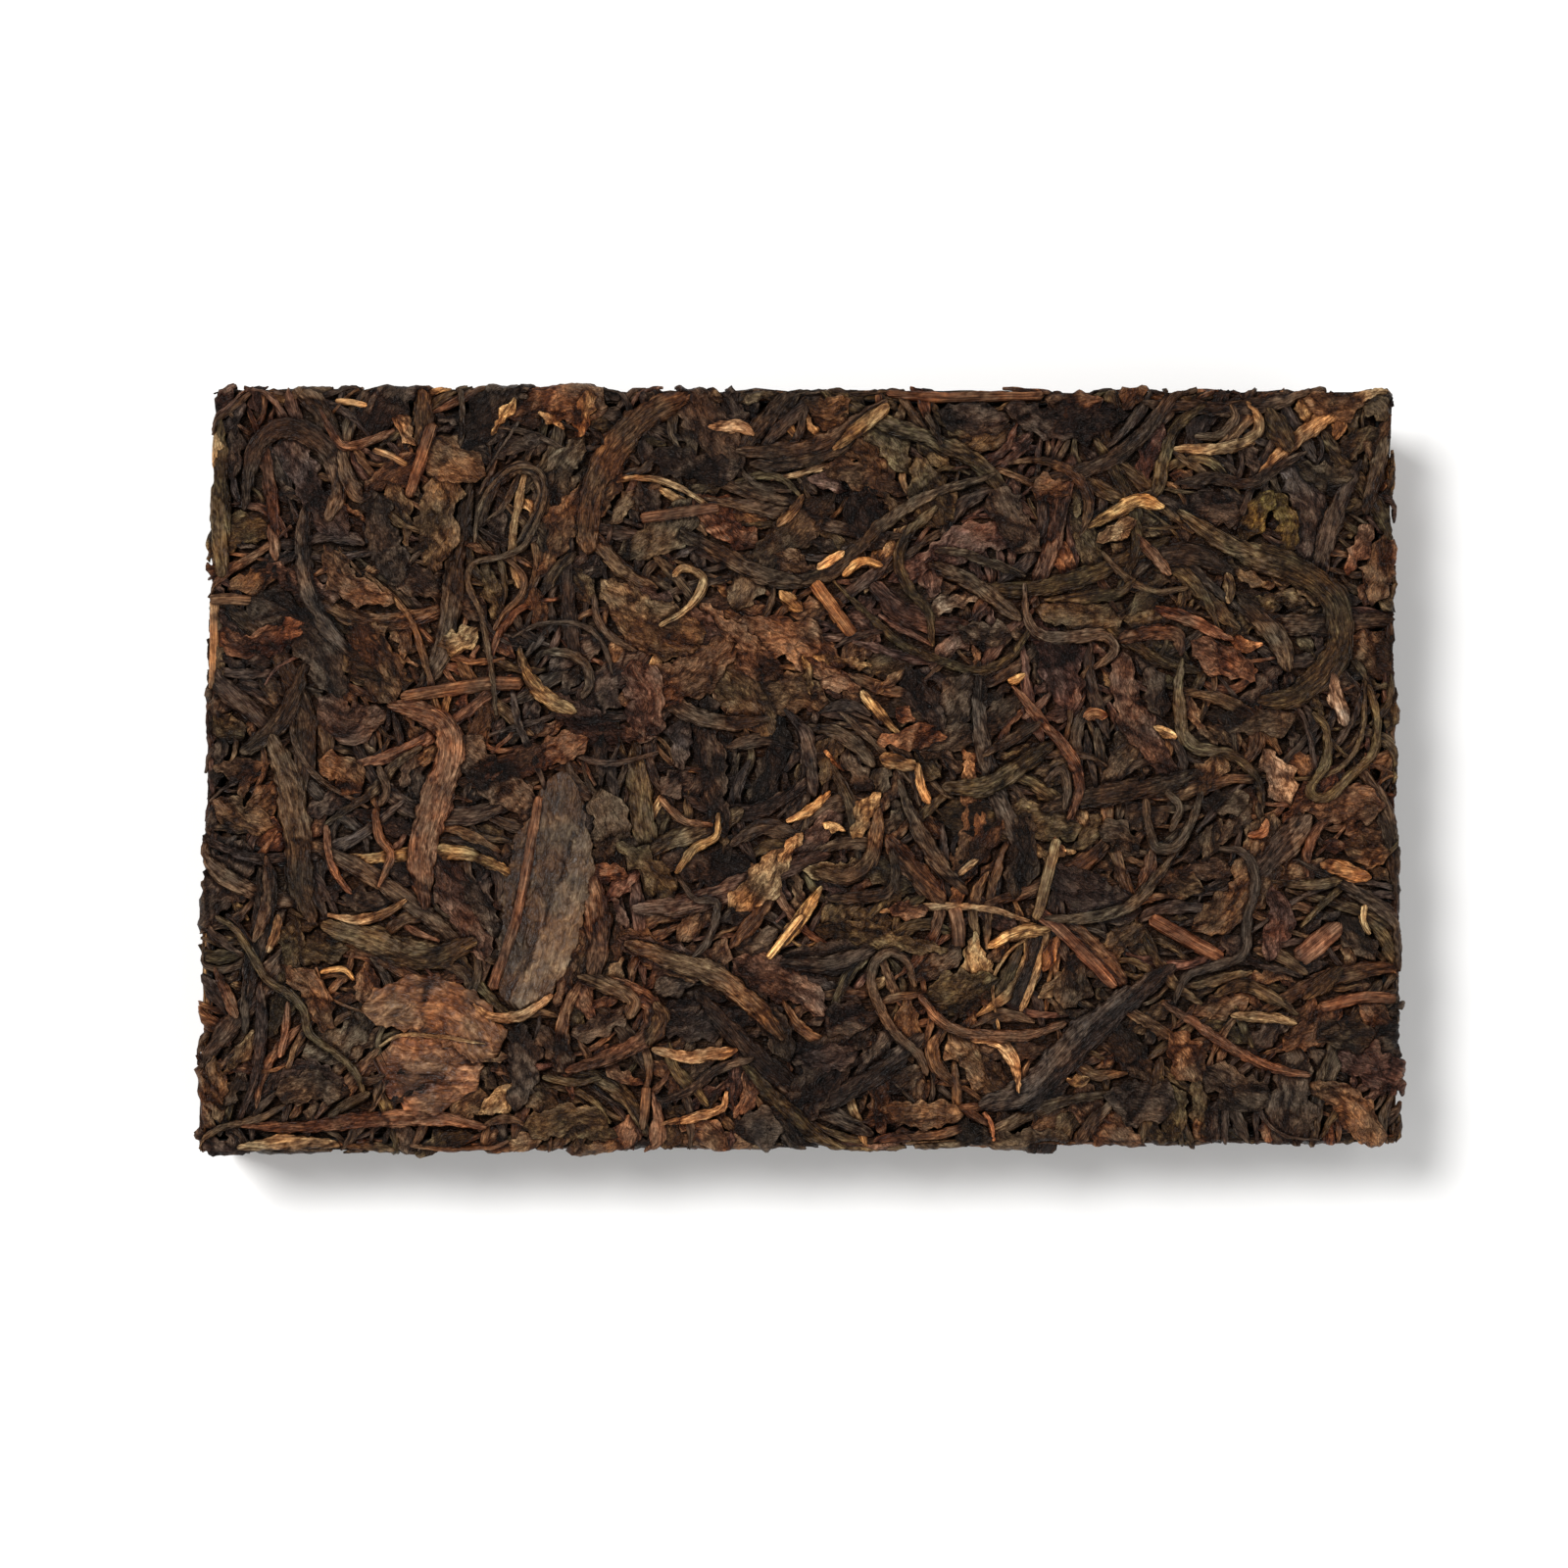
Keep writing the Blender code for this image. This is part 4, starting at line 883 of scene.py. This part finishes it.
def fill(face, stages, batches, rng):
    """Fills what is still open on a face with leaves, until little of it is open."""
    turns = rng.uniform(0, 6.3, 2)
    placed = 0
    tones = list(TONE_SHARES)
    shares = np.array(list(TONE_SHARES.values()))
    shares = shares / shares.sum()
    tone_rng = np.random.default_rng(SEED)
    patches = round(4 * face.half_s * face.half_t / PATCH**2)
    patch_places = tone_rng.uniform(-1, 1, (patches, 2)) * (face.half_s, face.half_t)
    patch_tones = tone_rng.choice(len(tones), patches, p=shares)
    for stage in stages:
        forms = list(stage["shares"])
        form_shares = list(stage["shares"].values())
        straight = stage["turn"] < 90
        last = placed + stage["most"]
        while placed < last:
            free = np.flatnonzero(~face.covered)
            if len(free) < stage["open"] * face.inside.sum():
                break
            tried = sorted(rng.choice(free, TRIES), key=lambda cell: -hole_at(face, cell))
            for cell in tried[:ROUND]:
                j, i = divmod(int(cell), len(face.s_axis))
                if face.covered[j, i]:
                    continue
                face.covered[j, i] = True
                form = forms[rng.choice(len(forms), p=form_shares)]
                growth = GROWTH[form]
                length = rng.uniform(*growth["length"])
                width = rng.uniform(*growth["width"])
                s, t = face.s_axis[i], face.t_axis[j]
                if straight:
                    heading = math.radians(rng.uniform(-stage["turn"], stage["turn"]))
                else:
                    swirl = 1.6 * math.sin(s / 17 + turns[0]) + 1.6 * math.cos(t / 13 + turns[1])
                    heading = swirl + rng.normal(0, 0.6)
                bend = growth["bend"] * (0.2 if straight else 1)
                route = grow(face, (s, t), heading, length, bend, rng)
                if route is not None and covered_share(face, route) > CROWDED:
                    width *= 0.6
                    route = grow(face, (s, t), heading, length * 0.55, bend, rng)
                if route is None:
                    continue
                pick = rng.choice(len(tones), p=shares)
                if tone_rng.random() < ALIKE:
                    pick = patch_tones[np.hypot(*(patch_places - (s, t)).T).argmin()]
                lay(face, batches[form], form, tones[pick], width, route, rng, rng.uniform(0, 0.25))
                placed += 1
    return placed


def hole_at(face, cell):
    """How much of the face is open around a cell, from 0 to 1."""
    j, i = divmod(int(cell), len(face.s_axis))
    return 1 - face.covered[max(j - HOLE, 0):j + HOLE + 1, max(i - HOLE, 0):i + HOLE + 1].mean()


def grow(face, spot, heading, length, bend, rng):
    """The route of a bent leaf through a spot, kept inside the face, or None where there's no room."""
    forward = np.array((math.cos(heading), math.sin(heading)))
    sideways = np.array((-forward[1], forward[0]))
    bow, hook = rng.normal(0, bend), rng.normal(0, bend * 0.7)
    centre = np.array(spot) + forward * rng.uniform(-0.3, 0.3) * length
    route = []
    for k in (-0.5, -0.25, 0, 0.25, 0.5):
        p = centre + forward * length * k + sideways * length * (bow * (k * k - 0.08) + hook * k**3)
        route.append(keep_inside(face, p, rng.uniform(-1.2, 0.6)))
    return spread(route)


def covered_share(face, route):
    """The share of a route that leaves already cover."""
    points = np.vstack([np.linspace(a, b, 8) for a, b in zip(route, route[1:])])
    return face.covered[face.cell(points[:, 0], points[:, 1])].mean()


def keep_inside(face, p, room):
    """A point moved so that it lies inside the face's outline by some room."""
    p = np.array(p, float)
    for a, run in face.edges():
        away = (p[1] - a[1]) * run[0] - (p[0] - a[0]) * run[1]
        if away < room:
            p = p + np.array((-run[1], run[0])) * (room - away)
    return p


def spread(route):
    """The route without points that coincide, or None if too little is left of it."""
    kept = [route[0]]
    for p in route[1:]:
        if np.linalg.norm(p - kept[-1]) > 0.7:
            kept.append(p)
    return kept if len(kept) >= 3 else None


def node(tree, kind, inputs=None, **settings):
    """Adds a shader node with its settings and inputs; an input is a value or another node's socket."""
    made = tree.nodes.new(kind)
    for name, value in settings.items():
        setattr(made, name, value)
    for name, value in (inputs or {}).items():
        socket = made.inputs[name]
        if isinstance(value, bpy.types.NodeSocket):
            tree.links.new(value, socket)
        else:
            socket.default_value = value
    return made


def leaf_material(name, roughness, wrinkles, bump):
    """Dry leaf: its own tone, with painted shade in its creases and wrinkles and painted highlights on its
    ridges and fibres, with wrinkles and fibres along it and a fine grain.

    wrinkles gives how many wrinkles a millimetre of leaf has, along it and across it.
    """
    material = bpy.data.materials.new(name)
    material.use_nodes = True
    tree = material.node_tree
    shader = tree.nodes["Principled BSDF"]
    tone = node(tree, "ShaderNodeAttribute", attribute_name="tone")
    crest = node(tree, "ShaderNodeAttribute", attribute_name="crest")
    place = node(tree, "ShaderNodeAttribute", attribute_name="place")
    where = node(tree, "ShaderNodeTexCoord")

    def noise_at(vector, scale, detail, roughness=0.55, distortion=0.0):
        settings = {
            "Vector": vector,
            "Scale": scale,
            "Detail": detail,
            "Roughness": roughness,
            "Distortion": distortion,
        }
        return node(tree, "ShaderNodeTexNoise", settings).outputs[0]

    def spread_of(value, low, high, start=0.3, end=0.7):
        settings = {"Value": value, "From Min": start, "From Max": end, "To Min": low, "To Max": high}
        return node(tree, "ShaderNodeMapRange", settings).outputs[0]

    def math_of(operation, a, b=0.0):
        return node(tree, "ShaderNodeMath", {0: a, 1: b}, operation=operation).outputs[0]

    def stretched(scale):
        settings = {"Vector": place.outputs["Vector"], "Scale": (*scale, 1.0)}
        return node(tree, "ShaderNodeMapping", settings).outputs[0]

    wrinkle = noise_at(stretched(wrinkles), 1.0, 2.0, 0.5, 0.8)
    wrinkle = math_of("ABSOLUTE", math_of("SUBTRACT", wrinkle, 0.5))
    wrinkle = math_of("MINIMUM", math_of("MULTIPLY", wrinkle, 6.0), 1.0)
    fibres = noise_at(stretched((wrinkles[0] * 2.2, wrinkles[1] * 2.6)), 1.0, 3.0, 0.6, 0.4)
    # Thin painted highlight lines along the fibres; they also lower the bump a little.
    lines = noise_at(stretched((wrinkles[0] * 1.4, wrinkles[1] * 1.7)), 1.0, 2.0, 0.5, 0.7)
    lines = math_of("ABSOLUTE", math_of("SUBTRACT", lines, 0.5))
    lines = math_of("MINIMUM", math_of("MULTIPLY", lines, 10.0), 1.0)
    grain = noise_at(where.outputs["Object"], 2300.0, 2.0)
    patches = noise_at(where.outputs["Object"], 300.0, 4.0, 0.6)
    hue = noise_at(where.outputs["Object"], 190.0, 3.0)

    # The painted light and shade from the crest attribute, made steeper and brighter.
    light = math_of("MULTIPLY", math_of("POWER", crest.outputs["Fac"], PAINTED_SHADE_POWER), PAINTED_LIGHT_GAIN)
    for value, low, high in (
        (fibres, 0.55, 1.5),
        (grain, 0.68, 1.36),
        (patches, 0.45, 1.7),
    ):
        light = math_of("MULTIPLY", light, spread_of(value, low, high))
    # Painted shade in the creases of the wrinkles.
    light = math_of("MULTIPLY", light, spread_of(wrinkle, 0.38, 1.18, 0.0, 1.0))
    # Painted highlights on the thin lines, up to 1.75 times as bright.
    light = math_of("MULTIPLY", light, spread_of(lines, 1.75, 0.95, 0.0, 1.0))
    # Painted shade turns redder as it deepens: green and blue fall faster than red.
    channels = node(
        tree,
        "ShaderNodeCombineXYZ",
        {"X": math_of("POWER", light, 0.86), "Y": light, "Z": math_of("POWER", light, 1.08)},
    )
    warmth = node(tree, "ShaderNodeMix", data_type="RGBA")
    warmth.inputs["A"].default_value = WARM_PATCH
    warmth.inputs["B"].default_value = COOL_PATCH
    tree.links.new(spread_of(hue, 0.0, 1.0, 0.38, 0.62), warmth.inputs["Factor"])
    factors = {0: tone.outputs["Color"], 1: warmth.outputs["Result"]}
    warm = node(tree, "ShaderNodeVectorMath", factors, operation="MULTIPLY")
    factors = {0: warm.outputs[0], 1: channels.outputs[0]}
    colour = node(tree, "ShaderNodeVectorMath", factors, operation="MULTIPLY")
    # Painted highlight: pale tan fibres mixed in where the painted light is strongest, on the highest
    # ridges.
    most_lit = spread_of(crest.outputs["Fac"], 0.0, 1.0, 0.7, 1.15)
    highlight_share = math_of("MULTIPLY", most_lit, spread_of(fibres, 0.0, 0.5))
    highlight_mix = node(tree, "ShaderNodeMix", data_type="RGBA")
    tree.links.new(highlight_share, highlight_mix.inputs["Factor"])
    tree.links.new(colour.outputs[0], highlight_mix.inputs["A"])
    highlight_mix.inputs["B"].default_value = RIDGE_HIGHLIGHT
    tree.links.new(highlight_mix.outputs["Result"], shader.inputs["Base Color"])
    tree.links.new(spread_of(patches, roughness - 0.1, roughness + 0.14), shader.inputs["Roughness"])
    rise = math_of("ADD", math_of("MULTIPLY", wrinkle, 0.6), math_of("MULTIPLY", fibres, 0.7))
    rise = math_of("ADD", rise, math_of("MULTIPLY", grain, 0.3))
    rise = math_of("SUBTRACT", rise, math_of("MULTIPLY", lines, 0.35))
    relief = node(tree, "ShaderNodeBump", {"Height": rise, "Strength": 1.0, "Distance": bump * MM})
    tree.links.new(relief.outputs[0], shader.inputs["Normal"])
    shader.inputs["Specular IOR Level"].default_value = 0.2
    return material


def make_core(material):
    """The block of pressed leaf under the leaves that show."""
    cells = (90, 58, 14)
    outline = np.array((FRONT_LEFT, FRONT_RIGHT, BACK_RIGHT, BACK_LEFT))
    whole = np.array((*np.abs(outline).mean(axis=0), THICKNESS / 2))
    half = whole - (CORE_SIDE_SINK, CORE_SIDE_SINK, CORE_SINK)
    lines = [np.linspace(-h, h, n + 1) for h, n in zip(half, cells)]
    signs = np.array(((-1, -1), (1, -1), (1, 1), (-1, 1)))
    shifts = outline - signs * whole[:2]
    index, points, faces = {}, [], []

    def corner(key):
        if key not in index:
            p = Vector([line[i] for line, i in zip(lines, key)])
            inner = Vector([max(-h + CORE_ROUND, min(h - CORE_ROUND, c)) for c, h in zip(p, half)])
            outward = (p - inner).normalized()
            p = inner + outward * (CORE_ROUND + CORE_BUMP * noise.fractal(p / 3.5, 0.9, 2.1, 4))
            index[key] = len(points)
            shares = ((1 + signs * (p.x, p.y) / whole[:2]) / 2).prod(axis=1)
            shift = shares @ shifts
            height = (p.z + THICKNESS / 2) * MM + LOW.z
            points.append(((p.x + shift[0]) * MM, (p.y + shift[1]) * MM, height))
        return index[key]

    for axis in range(3):
        one, two = [a for a in range(3) if a != axis]
        for end in (0, cells[axis]):
            for i in range(cells[one]):
                for j in range(cells[two]):
                    quad = []
                    for di, dj in ((0, 0), (1, 0), (1, 1), (0, 1)):
                        key = [0, 0, 0]
                        key[axis], key[one], key[two] = end, i + di, j + dj
                        quad.append(corner(tuple(key)))
                    outward = (end > 0) == (axis != 1)
                    faces.append(tuple(quad if outward else reversed(quad)))
    batch = Batch("pressed_core", material)
    points = np.array(points)
    tones = np.tile(srgb(TONES["slate"]), (len(points), 1))
    no_triangles = np.empty((0, 3), int)
    # The core gets an even painted light of 0.4.
    batch.add(points, np.array(faces), no_triangles, tones, np.full(len(points), 0.4), points / MM)
    core = batch.build()
    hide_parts(NODE)


def make_leaves():
    """Lays every leaf on the brick's six faces."""
    rng = np.random.default_rng(SEED)
    low, high = LOW.z / MM, HIGH.z / MM
    top = flat_face(1, high, rng)
    twisted = leaf_material("twisted_leaf", 0.48, (0.26, 1.45), 0.42)
    flat = leaf_material("flat_leaf", 0.5, (0.65, 1.2), 0.42)
    smooth = leaf_material("smooth_leaf", 0.46, (0.35, 0.7), 0.24)
    stem = leaf_material("stem", 0.55, (0.1, 1.9), 0.25)
    batches = {
        "tendril": Batch("thin_leaves", twisted),
        "strand": Batch("twisted_leaves", twisted),
        "leaf": Batch("crumpled_leaves", flat),
        "blade": Batch("flat_leaves", smooth),
        "veined": Batch("veined_leaves", smooth),
        "stem": Batch("stems", stem),
        "small": Batch("small_leaves", twisted),
        "scrap": Batch("leaf_scraps", flat),
        "side_strand": Batch("side_and_base_twisted_leaves", twisted),
        "side_leaf": Batch("side_and_base_flat_leaves", flat),
    }
    for form, tone, width, *route in TOP_PIECES:
        lay(top, batches[form], form, tone, width, route, rng)
    print("small leaves on top", fill(top, TOP_FILL, batches, rng))
    print("small leaves at the base", fill(flat_face(-1, low, rng), BASE_FILL, batches, rng))
    outline = (FRONT_LEFT, FRONT_RIGHT, BACK_RIGHT, BACK_LEFT)
    for start, end in zip(outline, outline[1:] + outline[:1]):
        side = side_face(start, end, low, high, rng)
        print("small leaves on a side", fill(side, SIDE_FILL, batches, rng))
    for batch in batches.values():
        batch.build()
    make_core(flat)


def area_light(name, place, size, power):
    """A soft square light that shines on the brick."""
    data = bpy.data.lights.new(name, "AREA")
    data.size = size
    data.energy = power
    thing = bpy.data.objects.new(name, data)
    thing.location = place
    thing.rotation_euler = (-Vector(place)).to_track_quat("-Z", "Y").to_euler()
    bpy.context.scene.collection.objects.link(thing)


def make_stage():
    """A pale floor and soft studio light."""
    mesh = bpy.data.meshes.new("floor")
    reach = 3.0
    mesh.from_pydata(
        [(-reach, -reach, 0), (reach, -reach, 0), (reach, reach, 0), (-reach, reach, 0)], [], [(0, 1, 2, 3)]
    )
    floor = bpy.data.objects.new("floor", mesh)
    bpy.context.scene.collection.objects.link(floor)
    floor.location.z = LOW.z - FLOOR_GAP * MM
    paper = bpy.data.materials.new("floor_paper")
    paper.use_nodes = True
    shader = paper.node_tree.nodes["Principled BSDF"]
    shader.inputs["Base Color"].default_value = (0.9, 0.895, 0.885, 1)
    shader.inputs["Roughness"].default_value = 0.9
    mesh.materials.append(paper)

    world = bpy.data.worlds.new("studio")
    world.use_nodes = True
    world.node_tree.nodes["Background"].inputs["Color"].default_value = (1, 1, 1, 1)
    world.node_tree.nodes["Background"].inputs["Strength"].default_value = 0.44
    bpy.context.scene.world = world
    area_light("key", (-0.3, 0.16, 0.76), 0.22, 6.0)
    area_light("fill", (0.42, -0.28, 0.65), 0.5, 1.5)
    bpy.context.scene.view_settings.view_transform = "Standard"


def make_camera():
    """A camera that looks down on the brick, almost straight, as in the photograph."""
    data = bpy.data.cameras.new("camera")
    data.lens = 78.75
    data.sensor_width = 36
    data.clip_start = 0.01
    thing = bpy.data.objects.new("camera", data)
    bpy.context.scene.collection.objects.link(thing)
    tilt = Matrix.Rotation(math.radians(4.36), 4, "X") @ Matrix.Rotation(math.radians(-1.94), 4, "Y")
    thing.matrix_world = Matrix.Translation((-0.01602, -0.03259, 0.42002)) @ tilt
    bpy.context.scene.camera = thing


make_camera()
make_stage()
make_leaves()
